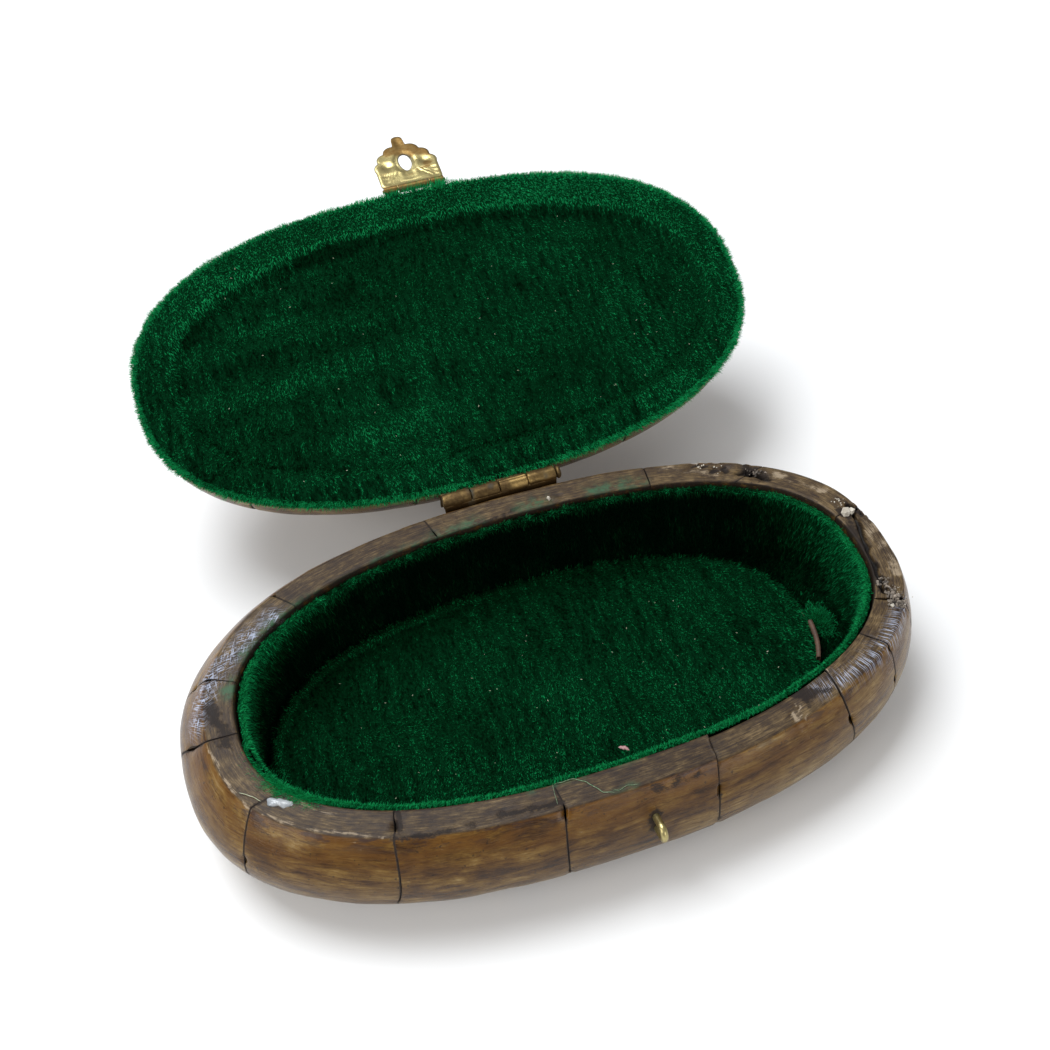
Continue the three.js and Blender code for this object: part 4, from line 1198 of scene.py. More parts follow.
def floor_pad():
    """The padded card: rings out from its middle, then straight down to a flat underside."""
    share = np.concatenate([np.linspace(0, 0.94, 44), np.linspace(0.95, 1, 14)])
    bearing = np.linspace(0, 2 * math.pi, 300, endpoint=False)
    ring_x, ring_y = oval(bearing, 0, *PAD_HALF[:2])
    x = PAD_MIDDLE[0] + share[:, None] * ring_x
    y = PAD_MIDDLE[1] + share[:, None] * ring_y
    top = np.stack([x, y, pad_height(x, y)], -1)
    low = np.stack([x[-1], y[-1], np.full_like(x[-1], pad_low[2])], -1)[None]
    middle = np.stack([x[0], y[0], np.full_like(x[0], pad_low[2])], -1)[None]
    points = np.concatenate([top, low, middle])
    faces = grid_faces(points.shape[0], points.shape[1], close_columns=True)
    flat = points.reshape(-1, 3)
    return make_piece("velvet_floor_pad", flat, face_out([faces], flat), velvet, "base", "velvet",
                      ["floor_pad"], shade=SHEET_SHADE)


def pad_pile():
    """The pad's threads. Their shade is painted light and shade: a painted highlight on the turned
    edge, and painted shade in the hollow inside it, on the far side and at the left end.
    """
    count = PAD_THREADS
    x = PAD_MIDDLE[0] + rng.uniform(-1, 1, count) * PAD_HALF[0]
    y = PAD_MIDDLE[1] + rng.uniform(-1, 1, count) * PAD_HALF[1]
    inside = (np.abs((x - PAD_MIDDLE[0]) / PAD_HALF[0]) ** OVAL_POWER
              + np.abs((y - PAD_MIDDLE[1]) / PAD_HALF[1]) ** OVAL_POWER) < 1
    x, y = x[inside], y[inside]
    z = pad_height(x, y)
    step = 0.05
    normal = np.stack([(z - pad_height(x + step, y)) / step, (z - pad_height(x, y + step)) / step,
                       np.ones_like(x)], -1)
    normal /= np.linalg.norm(normal, axis=1, keepdims=True)
    flat = np.stack([x, y, 0 * x], -1)
    swirl = lumps(flat, 13.0, 63)
    nap = np.stack([0.3 * swirl, -1.0 + 0.3 * swirl, 0 * x], -1)
    edge = inset_of(x - PAD_MIDDLE[0], y - PAD_MIDDLE[1], PAD_HALF[0], PAD_HALF[1])
    # A painted highlight along the pad's turned edge, strongest at the left end.
    crest = np.exp(-((edge - 2.4 + 0.4 * lumps(flat, 5.0, 67)) / 0.7) ** 2)
    ridge_highlight = crest * (0.04 + 0.55 * ease(-x, -20.0, 50.0) * ease(y, -28.0, -12.0))
    # Painted shade in the hollow inside the turned edge, and over the far side and the left end, which
    # the left wall shades.
    hollow = np.exp(-((edge - 4.4) / 1.6) ** 2) * ease(-x, -10.0, 50.0)
    painted_far_shade = ease(y, 2.0, 26.0) * 0.11 + 0.09 * ease(-x, 30.0, 60.0) + 0.08 * hollow
    # Painted light and shade over lumps of the cloth's own tone.
    shade = (0.24 + 0.2 * lumps(flat * [1, 0.13, 1], 0.8, 64) + 0.17 * lumps(flat * [1, 0.3, 1], 0.4, 66)
             + 0.1 * lumps(flat, 9.0, 65) + 1.4 * ridge_highlight - painted_far_shade)
    roots = np.stack([x, y, z], -1)
    return pile("velvet_floor_pile", roots, normal, nap, np.clip(shade, 0.02, 1), "base",
                length=1.15, lean=1.1, wild=0.25)


pad = floor_pad()
floor_pile = pad_pile()
print("floor pad", len(pad.data.polygons), "threads", len(floor_pile.data.polygons))

# %% [markdown]
# ## Brass
# Two kinds of brass: the hinge has gone brown all over, with gold only where it rubs, and the
# stamped hasp is brighter, with brown left near its nib and in the hollows. Both are the same
# recipe with other numbers. Tarnish comes from noise and from a number on the mesh.


# %% Brass materials
def brass_material(name, clean, brown, bias, gloss):
    """bias is how tarnished it is all over, and gloss its roughness where it is clean."""
    p = Paint(name)
    at = p.place()
    patina, grime = p.attribute("patina"), p.attribute("grime")
    broad, fine = p.noise(at, 260.0, 5.0, 0.6, 0.4), p.noise(at, 1500.0, 4.0, 0.6)
    tarnish = (patina + (broad - 0.5) * 1.6 + bias).step(0.2, 0.8)
    metal = p.blend((tarnish * 0.85 + (fine - 0.5) * 0.5).clip(), clean, brown)
    dust = (grime * (fine + 0.5)).clip()
    color = p.blend(dust, metal, (0.05, 0.045, 0.03))
    normal = p.bump(fine * 0.6 + broad * 0.8 - tarnish * 0.3, 0.35, 0.0001)
    return p.finish(Base_Color=color, Metallic=1 - dust * 0.8, Normal=normal,
                    Roughness=(tarnish * 0.2 + fine * 0.2 + dust * 0.3 + gloss).clip())


bright_brass = brass_material("stamped_brass", (0.45, 0.38, 0.17), (0.13, 0.062, 0.014), 0.12, 0.2)
aged_brass = brass_material("aged_brass", (0.3, 0.2, 0.075), (0.06, 0.037, 0.019), 0.46, 0.3)


# %% Solids of revolution, extruded plates and wires
def turned_solid(profile, place, axis, sides=24):
    """A profile of [radius, height] pairs spun round an axis through a place; closed at both ends."""
    axis = np.asarray(axis, float) / np.linalg.norm(axis)
    first = np.cross(axis, [0.3, 0.5, 0.81])
    first /= np.linalg.norm(first)
    second = np.cross(axis, first)
    turn = np.linspace(0, 2 * math.pi, sides, endpoint=False)
    ring = np.cos(turn)[:, None] * first + np.sin(turn)[:, None] * second
    profile = np.asarray(profile, float)
    points = np.asarray(place) + profile[:, 0, None, None] * ring + profile[:, 1, None, None] * axis
    everything = points.reshape(-1, 3)
    return everything, face_out([grid_faces(len(profile), sides, close_columns=True)], everything)


def dome_profile(radius, height, count=9):
    """A nail head or rivet: a quarter ellipse from its rim up to its top, with a flat back."""
    turn = np.linspace(0, math.pi / 2, count)
    return [[0, -0.05], [radius, -0.05]] + [[radius * math.cos(t), height * math.sin(t)] for t in turn]


def extruded_x(loop, low, high, lip=0.2, step=0.8):
    """A closed outline in y and z carried along x, drawn in by a quarter round at both ends."""
    length = high - low
    ends = lip * np.array([0, 0.1, 0.3, 0.6, 1.0])
    x = np.concatenate([ends, np.linspace(lip, length - lip, max(2, int(length / step)))[1:-1],
                        length - ends[::-1]])
    gap = np.minimum(x, length - x)
    inset = lip * (1 - np.sqrt(1 - np.clip(1 - gap / lip, 0, 1) ** 2))
    section = loop[None] + inward(loop)[None] * inset[:, None, None]
    along = np.broadcast_to((low + x)[:, None, None], section.shape[:2] + (1,))
    return np.concatenate([along, section], -1)


def plate_loop(path, thickness, count=64, softness=0.12):
    """The outline of a bent plate seen from its end: its middle line, thickened to both sides."""
    path = np.asarray(path, float)
    run = np.gradient(path, axis=0)
    normal = np.stack([-run[:, 1], run[:, 0]], -1)
    normal *= thickness / 2 / np.linalg.norm(normal, axis=1)[:, None]
    return rounded_loop(np.vstack([path + normal, (path - normal)[::-1]]), count, softness)


def brass_piece(name, points, material, body, slot, nodes, dents=0.05, patina=0.0, is_open=False):
    """Finishes a carried outline: low dents, closed ends, marks, and the lid's swing if it has it."""
    rows, columns = points.shape[:2]
    points = points + outward_normals(points) * (dents * lumps(points, 2.2, 71))[..., None]
    everything, faces = close_ends(points, rows, columns)
    middle = everything.mean(0)
    depth = np.linalg.norm((everything - middle) * [0.2, 1, 1], axis=1)
    grime = ease(lumps(everything, 2.6, 72), 0.35, 0.8) * ease(depth, 0, 2)
    return make_piece(name, opened(everything) if is_open else everything, faces, material, body, slot,
                      nodes, patina=patina, grime=grime)


# %% Hinge
HINGE_LENGTH, KNUCKLES, JOINT_GAP = 27.0, 4, 0.36
BARREL_R, LEAF, PIN_R, PIN_HEAD_R = 1.7, 0.8, 0.8, 1.5
BASE_LEAF_Y, BASE_LEAF_DROP = 43.2, 9.0
LID_LEAF_Y, LID_LEAF_TOP, LID_LEAF_FOOT = 41.9, 35.1, 28.5
hinge_low = HINGE_X - HINGE_LENGTH / 2
knuckle = (HINGE_LENGTH - (KNUCKLES - 1) * JOINT_GAP) / KNUCKLES


def barrel_loop(radius, facets, seam):
    """A rolled knuckle from its end: a circle a little flattened by the hammer, with its seam."""
    turn = np.linspace(0, 2 * math.pi, 72, endpoint=False)
    away = np.abs((turn - seam + math.pi) % (2 * math.pi) - math.pi)
    r = radius * (1 - 0.02 * np.cos(facets * turn + seam)) - 0.16 * np.exp(-(away / 0.1) ** 2)
    return np.stack([HINGE_Y + r * np.cos(turn), HINGE_Z + r * np.sin(turn)], -1)


for index in range(KNUCKLES):
    start = hinge_low + index * (knuckle + JOINT_GAP)
    on_lid = index % 2 == 0
    rolled = barrel_loop(BARREL_R, 5 + index % 2, 2.2 + index)
    barrel = extruded_x(rolled, start - 0.1, start + knuckle + 0.1, 0.28, 0.3)
    brass_piece(f"brass_knuckle_{index + 1}", barrel, aged_brass, "lid" if on_lid else "base",
                "aged_brass", ["hinge_lid_leaf" if on_lid else "hinge_base_leaf"], 0.11,
                0.1 if index > 1 else 0.25, on_lid)

base_leaf = plate_loop([(BASE_LEAF_Y, HINGE_Z - drop) for drop in (BASE_LEAF_DROP, 4, 0)], LEAF)
brass_piece("brass_base_leaf", extruded_x(base_leaf, hinge_low, hinge_low + HINGE_LENGTH), aged_brass,
            "base", "aged_brass", ["hinge_base_leaf"], 0.03, 0.3)
lid_leaf = plate_loop([(LID_LEAF_Y, height) for height in (LID_LEAF_TOP, 31, LID_LEAF_FOOT)], LEAF)
brass_piece("brass_lid_leaf", extruded_x(lid_leaf, hinge_low, hinge_low + HINGE_LENGTH), aged_brass,
            "lid", "aged_brass", ["hinge_lid_leaf"], 0.03, 0.3, True)
for index in range(0, KNUCKLES, 2):
    start = hinge_low + index * (knuckle + JOINT_GAP)
    web = plate_loop([(LID_LEAF_Y, LID_LEAF_FOOT), (43.0, 28.55), (44.4, 28.5)], LEAF * 0.9)
    brass_piece(f"brass_web_{index + 1}", extruded_x(web, start, start + knuckle), aged_brass, "lid",
                "aged_brass", ["hinge_lid_leaf"], 0.02, 0.4, True)

hinge_high = hinge_low + HINGE_LENGTH
head = [[PIN_HEAD_R * math.sin(t), 0.85 - 0.75 * math.cos(t)] for t in np.linspace(0, math.pi, 14)]
shank = [[0, -HINGE_LENGTH], [PIN_R, -HINGE_LENGTH + 0.1], [PIN_R, 0]]
points, faces = turned_solid(shank + head, (hinge_high, HINGE_Y, HINGE_Z), (1, 0, 0))
make_piece("brass_hinge_pin", points, faces, aged_brass, "base", "aged_brass", ["hinge_pin"],
           patina=0.2, grime=0.1)


# %% Nails
NAIL_SPACING, BASE_NAIL_DROP = 9.4, 6.3
LID_NAIL_RISE, HASP_NAIL_RISE = 0.55 * 6.2, 0.55 * 6.4
NAIL_SHANK = [[0, -4.1], [0.15, -4.0], [0.6, -3.0], [0.6, -0.05]]
NAIL_HEAD_R, NAIL_HEAD_RISE = 1.15, 0.55


def nail(name, place, axis, body, slot, material, is_open=False):
    """A round-headed nail: a low dome on a short shank that goes into the bone."""
    head = dome_profile(NAIL_HEAD_R, NAIL_HEAD_RISE)[1:]
    points, faces = turned_solid(NAIL_SHANK + head, place, axis)
    points = points + 0.05 * lumps(points, 1.1, 77)[:, None] * np.asarray(axis)
    make_piece(f"brass_{name}", opened(points) if is_open else points, faces, material, body, slot,
               [name], patina=0.15, grime=0.15)


for index, side in enumerate((-NAIL_SPACING, 0, NAIL_SPACING)):
    low_place = (HINGE_X + side, BASE_LEAF_Y + LEAF / 2, HINGE_Z - BASE_NAIL_DROP)
    high_place = (HINGE_X + side, LID_LEAF_Y + LEAF / 2, LID_RIM + LID_NAIL_RISE)
    nail(f"nail_base_{index + 1}", low_place, (0, 1, 0), "base", "aged_brass", aged_brass)
    nail(f"nail_lid_{index + 1}", high_place, (0, 1, 0), "lid", "aged_brass", aged_brass, True)
print("hinge knuckle", round(knuckle, 2), "mm")

# %% [markdown]
# ## The hasp
# The hasp is stamped from thin sheet. A press gave it its scalloped outline, an oval slot for the
# staple, two bosses beside the slot and curved ribs under it. Its outline is the union of a few
# discs and a plate, seen from the slot's middle: in each direction the farthest edge counts. Rings
# between the slot and that outline make the sheet, and the relief is pushed through both faces.
# The sizes below are across and along the flap, measured from its pin.

# %% Hasp flap
HASP_X, HASP_Y, HASP_Z = 3.8, -43.4, 28.5
HASP_OPEN = math.radians(11)
SLOT_AT, SLOT_HALF = 9.1, (1.6, 3.1)
HASP_SHEET = 0.6
# Discs of the outline: across, along and radius. The last two make the nib
LOBES = [(0, 8.8, 6.0), (6.0, 8.2, 2.3), (-6.0, 8.2, 2.3), (4.6, 11.0, 2.4), (-4.6, 11.0, 2.4),
         (2.3, 13.2, 2.5), (-2.3, 13.2, 2.5), (0, 16.0, 1.7), (0, 17.6, 1.65)]
PLATE_HALF, PLATE_TOP, CORNER = 8.1, 7.6, 1.6
RIBS, GROOVES, RIB_BOW = (1.9, 3.3, 4.7), (2.6, 4.0, 5.4), 0.012
BOSS_ACROSS, BOSS_ALONG, NIB_ALONG = 4.9, 8.6, 16.6
STAIN_AT = np.array([5.4, 7.0])


def flap_reach(turn):
    """Distance from the slot's middle to the flap's edge in each direction."""
    d = np.stack([np.cos(turn), np.sin(turn)], -1)
    reach = np.zeros_like(turn)
    for u, v, r in LOBES:
        centre = np.array([u, v - SLOT_AT])
        along = d @ centre
        inside = r * r - centre @ centre + along ** 2
        reach = np.maximum(reach, np.where(inside > 0, along + np.sqrt(np.maximum(inside, 0)), 0))
    down = np.maximum(-d[:, 1], 1e-6)
    side = np.minimum(PLATE_HALF / np.maximum(np.abs(d[:, 0]), 1e-6), SLOT_AT / down)
    cut = (PLATE_HALF + SLOT_AT - CORNER) / (np.abs(d[:, 0]) + down)
    enters = (SLOT_AT - PLATE_TOP) / down
    plate = np.minimum(side, cut)
    return np.maximum(reach, np.where((d[:, 1] < 0) & (plate > enters), plate, 0))


def flap_relief(u, v):
    """What the press pushed up: two bosses, a raised edge round the slot, ribs and a nib."""
    boss = sum(spot(np.stack([u - side * BOSS_ACROSS, (v - BOSS_ALONG) * 1.1], -1), (0, 0), 1.35)
               for side in (-1, 1))
    ring = np.exp(-((np.hypot(u, (v - SLOT_AT) / 1.45) - 2.35) / 0.4) ** 2)
    ribs = sum(np.exp(-((v - rib - RIB_BOW * u * u) / 0.32) ** 2) for rib in RIBS)
    nib = spot(np.stack([u * 1.3, (v - NIB_ALONG) * 0.7], -1), (0, 0), 1.5)
    return 0.42 * boss + 0.24 * ring + 0.26 * ribs * ease(7.6 - np.abs(u), 0, 1.5) + 0.3 * nib


def hasp_flap():
    """The flap: rings from the slot to the outline on both faces, with tarnish and dirt marks."""
    turn = np.linspace(0, 2 * math.pi, 220, endpoint=False)
    far = flap_reach(turn)
    far = sum(w * np.roll(far, s) for s, w in ((-1, 0.25), (0, 0.5), (1, 0.25)))
    near = 1 / np.sqrt((np.cos(turn) / SLOT_HALF[0]) ** 2 + (np.sin(turn) / SLOT_HALF[1]) ** 2)
    share = np.array([0.0, 0.03, 0.08, 0.15, 0.24, 0.34, 0.44, 0.54, 0.64, 0.73, 0.81, 0.88, 0.94,
                      0.98, 1.0])
    reach = near + (far - near) * share[:, None]
    u, v = reach * np.cos(turn), SLOT_AT + reach * np.sin(turn)
    edge = np.minimum((far - reach), (reach - near))
    relief = flap_relief(u, v) + 0.05 * lumps(np.stack([u, v, 0 * u], -1), 2.5, 81)
    half = HASP_SHEET / 2 - 0.16 * (1 - ease(edge, 0, 0.35))
    upper = np.stack([u, v, relief + half], -1)
    lower = np.stack([u, v, relief - half], -1)[::-1]
    points = np.concatenate([upper, lower])
    faces = grid_faces(*points.shape[:2], close_rows=True, close_columns=True)
    u, v = points[..., 0], points[..., 1]
    nib = ease(v + 0.25 * u, 9.6, 14.2)
    grooves = sum(np.exp(-((v - groove - RIB_BOW * u * u) / 0.26) ** 2) for groove in GROOVES)
    stain = spot((points[..., :2] - STAIN_AT) * [1.0, 1.8], (0, 0), 2.0)
    patina = 1.3 * nib + 0.55 * grooves + 0.8 * stain + 0.5 * ease(2.0 - v, 0, 1.2) - 0.12
    hollow = np.exp(-((np.hypot(u, (v - SLOT_AT) / 1.5) - 1.85) / 0.2) ** 2)
    gap = np.concatenate([edge, edge[::-1]])
    grime = np.clip(0.55 * hollow + 0.5 * ease(0.35 - gap, 0, 0.3), 0, 1)
    flat = flap_place(points.reshape(-1, 3))
    return make_piece("brass_hasp_flap", flat, face_out([faces], flat), bright_brass, "hasp",
                      "bright_brass", ["hasp_flap"], patina=patina.ravel(), grime=grime.ravel())


def flap_place(local):
    """From the flap's own across, along and up to its place beside the open lid."""
    c, s = math.cos(HASP_OPEN), math.sin(HASP_OPEN)
    u, v, w = local[..., 0], local[..., 1], local[..., 2]
    closed = np.stack([HASP_X + u, HASP_Y - v * c + w * s, HASP_Z + v * s + w * c], -1)
    return opened(closed)


flap = hasp_flap()


# %% Hasp plate, barrel and pin
HASP_WIDTH, HASP_MIDDLE = 16.6, 8.0
HASP_PIN_R = 0.42
HASP_PLATE_Y, HASP_PLATE_TOP, HASP_PLATE_FOOT = -40.9, 35.3, 29.2


def hasp_barrel(low, high, body, name, nodes):
    """A length of the hasp's barrel, a millimetre in radius, made dark brown all over."""
    turn = np.linspace(0, 2 * math.pi, 40, endpoint=False)
    loop = np.stack([HASP_Y + np.cos(turn), HASP_Z + np.sin(turn)], -1)
    return brass_piece(name, extruded_x(loop, low, high, 0.15, 0.4), bright_brass, body, "bright_brass",
                       nodes, 0.05, 1.1, True)


hasp_barrel(HASP_X - HASP_MIDDLE / 2, HASP_X + HASP_MIDDLE / 2, "hasp", "brass_flap_barrel",
            ["hasp_flap"])
for side, name in ((-1, "left"), (1, "right")):
    ends = sorted(HASP_X + side * reach for reach in (HASP_MIDDLE / 2 + JOINT_GAP, HASP_WIDTH / 2 - 0.4))
    hasp_barrel(ends[0], ends[1], "lid", f"brass_plate_barrel_{name}", ["hasp_plate"])
    neck = plate_loop([(HASP_PLATE_Y, 29.4), (-41.6, 29.35), (-43.3, 29.2)], HASP_SHEET * 0.9)
    brass_piece(f"brass_plate_neck_{name}", extruded_x(neck, ends[0], ends[1]), bright_brass, "lid",
                "bright_brass", ["hasp_plate"], 0.02, 0.4, True)
plate = plate_loop([(HASP_PLATE_Y, z) for z in (HASP_PLATE_TOP, 32, HASP_PLATE_FOOT)], HASP_SHEET)
brass_piece("brass_hasp_plate", extruded_x(plate, HASP_X - HASP_WIDTH / 2, HASP_X + HASP_WIDTH / 2),
            bright_brass, "lid", "bright_brass", ["hasp_plate"], 0.03, 0.2, True)
pin_profile = [[0, 0], [HASP_PIN_R, 0.08], [HASP_PIN_R, HASP_WIDTH - 0.1], [0, HASP_WIDTH]]
pin_start = (HASP_X - HASP_WIDTH / 2, HASP_Y, HASP_Z)
pin_points, pin_faces = turned_solid(pin_profile, pin_start, (1, 0, 0), 14)
make_piece("brass_hasp_pin", opened(pin_points), pin_faces, bright_brass, "lid", "bright_brass",
           ["hasp_pin"], patina=0.5, grime=0.2)
for index, side in enumerate((-5, 5)):
    place = (HASP_X + side, HASP_PLATE_Y - HASP_SHEET / 2, LID_RIM + HASP_NAIL_RISE)
    nail(f"nail_hasp_{index + 1}", place, (0, -1, 0), "lid", "bright_brass", bright_brass, True)
print("hasp flap", len(flap.data.polygons), "faces")


# %% Staple
def wire(path, radius, sides=16):
    """A round wire along a path of points, open at its ends. The radius may change on the way."""
    run = np.gradient(path, axis=0)
    run /= np.linalg.norm(run, axis=1)[:, None]
    first = np.cross(run, [1.0, 0, 0])
    first /= np.linalg.norm(first, axis=1)[:, None]
    second = np.cross(run, first)
    turn = np.linspace(0, 2 * math.pi, sides, endpoint=False)
    thick = np.broadcast_to(radius, len(path))[:, None, None]
    points = path[:, None] + thick * (np.cos(turn)[:, None] * first[:, None]
                                      + np.sin(turn)[:, None] * second[:, None])
    flat = points.reshape(-1, 3)
    return flat, face_out([grid_faces(len(path), sides, close_columns=True)], flat)


STAPLE_SPAN, STAPLE_OUT, STAPLE_IN, WIRE_R = 2.9, 3.2, 5.4, 0.78
STAPLE_AT = 9.4
LEG_STATIONS = 24
STAPLE_LEAN = math.radians(20)
STAPLE_Y = HASP_Y - STAPLE_AT * math.sin(STAPLE_LEAN)
STAPLE_Z = HASP_Z - STAPLE_AT * math.cos(STAPLE_LEAN)


def staple_path():
    """Two legs and a half round, in the upright plane of the slot, leaning with the closed flap."""
    half = STAPLE_SPAN / 2
    leg = np.linspace(-STAPLE_IN, STAPLE_OUT - half, LEG_STATIONS)
    side = np.full(LEG_STATIONS, half)
    bend = np.linspace(-math.pi / 2, math.pi / 2, 20)[1:-1]
    out = np.concatenate([leg, STAPLE_OUT - half + half * np.cos(bend), leg[::-1]])
    across = np.concatenate([-side, half * np.sin(bend), side])
    c, s = math.cos(STAPLE_LEAN), math.sin(STAPLE_LEAN)
    return np.stack([np.full(len(out), HASP_X), STAPLE_Y - out * c - across * s,
                     STAPLE_Z + out * s - across * c], -1)


path = staple_path()
thin = np.full(len(path), WIRE_R)
thin[[0, -1]] = 0.03
points, faces = wire(path, thin)
make_piece("brass_staple", points, faces, bright_brass, "base", "bright_brass", ["staple"],
           patina=-0.25, grime=0.12)

# %% [markdown]
# ## Board, card and small litter
# Under the velvet card is a plain thin board, which shows from below. The card's edge shows brown at
# the right end, with a tuft of loose velvet beside it. An old drop of clear glue, broken filler at
# the cracked end, chips of white bone and green threads lie on the rim, and specks of lint lie on
# the velvet.


# %% Wooden board under the base
def wood_material(name, dark, light, scale):
    """Grain and finer fibre, both noise stretched along X."""
    p = Paint(name)
    at = p.place()
    stretched = [p.node("ShaderNodeVectorMath", {"operation": "MULTIPLY"}, {0: at, 1: (share, 1, 1)})
                 for share in (0.06, 0.04)]
    grain = p.noise(stretched[0], scale, 6.0, 0.6, 0.8)
    fibre = p.noise(stretched[1], scale * 5, 3.0)
    color = p.ramp((grain * 0.7 + fibre * 0.4 - 0.05).clip(), [(0.3, dark), (0.7, light)])
    return p.finish(Base_Color=color, Roughness=0.55 + fibre * 0.2,
                    Normal=p.bump(fibre + grain, 0.3, 0.0002))


board_wood = wood_material("board_wood", (0.09, 0.045, 0.02), (0.24, 0.14, 0.065), 260.0)
card_brown = wood_material("brown_card", (0.035, 0.018, 0.012), (0.12, 0.062, 0.036), 500.0)


SLAB_SIDES = 200


def slab(name, low, high, border, half, middle, material, slot, nodes, soften=0.4):
    """An oval slab with softened arrises: rings in from the edge on both faces."""
    t = np.linspace(0, math.pi / 2, 6)
    lip = [(-soften * (1 - math.sin(a)), soften * (1 - math.cos(a))) for a in t]
    profile = [(o, low + h) for o, h in lip[::-1]] + [(o, high - h) for o, h in lip]
    bearing = np.linspace(0, 2 * math.pi, SLAB_SIDES, endpoint=False)
    rings = [np.stack([*oval(bearing, border + out, *half), np.full(SLAB_SIDES, z)], -1)
             for out, z in profile]
    over = [rings[-1] * [s, s, 0] + [0, 0, high] for s in (0.6, 0.2, 0)]
    under = [rings[0] * [s, s, 0] + [0, 0, low] for s in (0, 0.2, 0.6)]
    points = np.array(under + rings + over) + [*middle, 0]
    flat = points.reshape(-1, 3)
    faces = grid_faces(len(points), SLAB_SIDES, close_columns=True)
    return make_piece(name, flat, face_out([faces], flat), material, "base", slot, nodes)


BOARD_TOP, CARD_LOW, CARD_TOP = 4.0, 4.3, 6.4
slab("wood_floor_board", 0.0, BOARD_TOP, -WALL - 0.12, (HALF_LENGTH, HALF_WIDTH), (0, 0), board_wood,
     "wood", ["floor_board"])
slab("card_under_pad", CARD_LOW, CARD_TOP, -0.6, PAD_HALF[:2], PAD_MIDDLE[:2], card_brown, "wood",
     ["floor_pad"], 0.2)


# %% Grains and plain materials
def pebble(name, centres, sizes, material, seed):
    """Angular grains: a cube's corners and face middles, each pushed in or out at random."""
    corners = np.array([(x, y, z) for x in (-1, 1) for y in (-1, 1) for z in (-1, 1)]) / math.sqrt(3)
    middles = np.vstack([np.eye(3), -np.eye(3)])
    shape = np.vstack([corners, middles])
    quads = [(0, 1, 3, 2), (4, 6, 7, 5), (0, 4, 5, 1), (2, 3, 7, 6), (0, 2, 6, 4), (1, 5, 7, 3)]
    centre_of = [11, 8, 12, 9, 13, 10]
    faces = np.array([(q[k], q[(k + 1) % 4], c) for q, c in zip(quads, centre_of) for k in range(4)])
    local = np.random.default_rng(seed)
    push = local.uniform(0.55, 1.25, (len(centres), len(shape), 1))
    turn = np.linalg.qr(local.normal(size=(len(centres), 3, 3)))[0]
    turn[np.linalg.det(turn) < 0, 0] *= -1
    turned_shape = np.einsum("nij,nkj->nki", turn, shape * push)
    points = centres[:, None] + np.asarray(sizes)[:, None, None] * turned_shape
    everything = (faces[None] + len(shape) * np.arange(len(centres))[:, None, None]).reshape(-1, 3)
    flat = points.reshape(-1, 3)
    return make_piece(name, flat, face_out([everything], flat), material, "base", "bone", smooth=False)


def plain_material(name, dark, light, rough, scale=700.0, **extra):
    """A mottled colour with a little grain in its surface."""
    p = Paint(name)
    speckle = p.noise(p.place(), scale, 4.0, 0.6)
    return p.finish(Base_Color=p.ramp(speckle, [(0.35, dark), (0.65, light)]), Roughness=rough,
                    Normal=p.bump(speckle, 0.4, 0.0001), **extra)


chalk = plain_material("white_chip", (0.34, 0.3, 0.24), (0.62, 0.58, 0.5), 0.7)
filler = plain_material("broken_filler", (0.02, 0.015, 0.012), (0.3, 0.25, 0.2), 0.6, 900.0)
dry_glue = plain_material("dry_glue", (0.32, 0.36, 0.4), (0.6, 0.62, 0.64), 0.16, 400.0,
                          Transmission_Weight=0.35)
lint_white = plain_material("pale_lint", (0.3, 0.34, 0.2), (0.55, 0.55, 0.42), 0.9)
lint_pink = plain_material("pink_lint", (0.3, 0.16, 0.16), (0.5, 0.3, 0.3), 0.9)
thread_green = plain_material("green_thread", (0.05, 0.13, 0.06), (0.24, 0.3, 0.19), 0.85, 2500.0)


# %% Broken filler, chips and a drop of glue
def scattered(pixels, count, spread, height, seed):
    """Points near places seen on the rim, spread by so many mm."""
    local = np.random.default_rng(seed)
    at = np.array([seen_at(p) for p in pixels])
    chosen = at[local.integers(0, len(at), count)]
    return chosen + local.normal(size=(count, 3)) * [spread, spread, 0.12] + [0, 0, height]


def grains(name, pixels, count, spread, height, small, large, material, seeds):
    """A heap of grains between two sizes; the seeds are for their places, sizes and shapes."""
    sizes = np.random.default_rng(seeds[1]).uniform(small, large, count)
    pebble(name, scattered(pixels, count, spread, height, seeds[0]), sizes, material, seeds[2])


FILLER_SPOTS = [(884, 582), (890, 592), (896, 598), (902, 604), (893, 602)]
BACK_SPOTS = [(748, 470), (754, 474), (762, 472)]
CHIP_SPOTS = [(846, 513), (851, 512), (549, 499), (892, 606)]
CRUMB_SPOTS = [(720, 468), (700, 467), (840, 500), (838, 503), (905, 600), (898, 592)]
grains("filler_grains", FILLER_SPOTS, 90, 0.7, 0.1, 0.15, 0.5, filler, (3, 4, 5))
grains("filler_back", BACK_SPOTS, 18, 0.6, 0.05, 0.12, 0.32, filler, (6, 7, 8))
chips = np.array([seen_at(p) for p in CHIP_SPOTS]) + [0, 0, 0.25]
pebble("white_chips", chips, [1.15, 0.9, 0.6, 0.5], chalk, 9)
grains("pale_crumbs", CRUMB_SPOTS, 40, 0.8, 0.06, 0.08, 0.24, chalk, (12, 13, 14))


GLUE_MIDDLE, GLUE_ENDS, GLUE_SIDES = (279, 803), ((266, 800), (292, 806)), 48
GLUE_HALF_LENGTH, GLUE_HALF_WIDTH, GLUE_RISE = 2.1, 1.25, 0.75


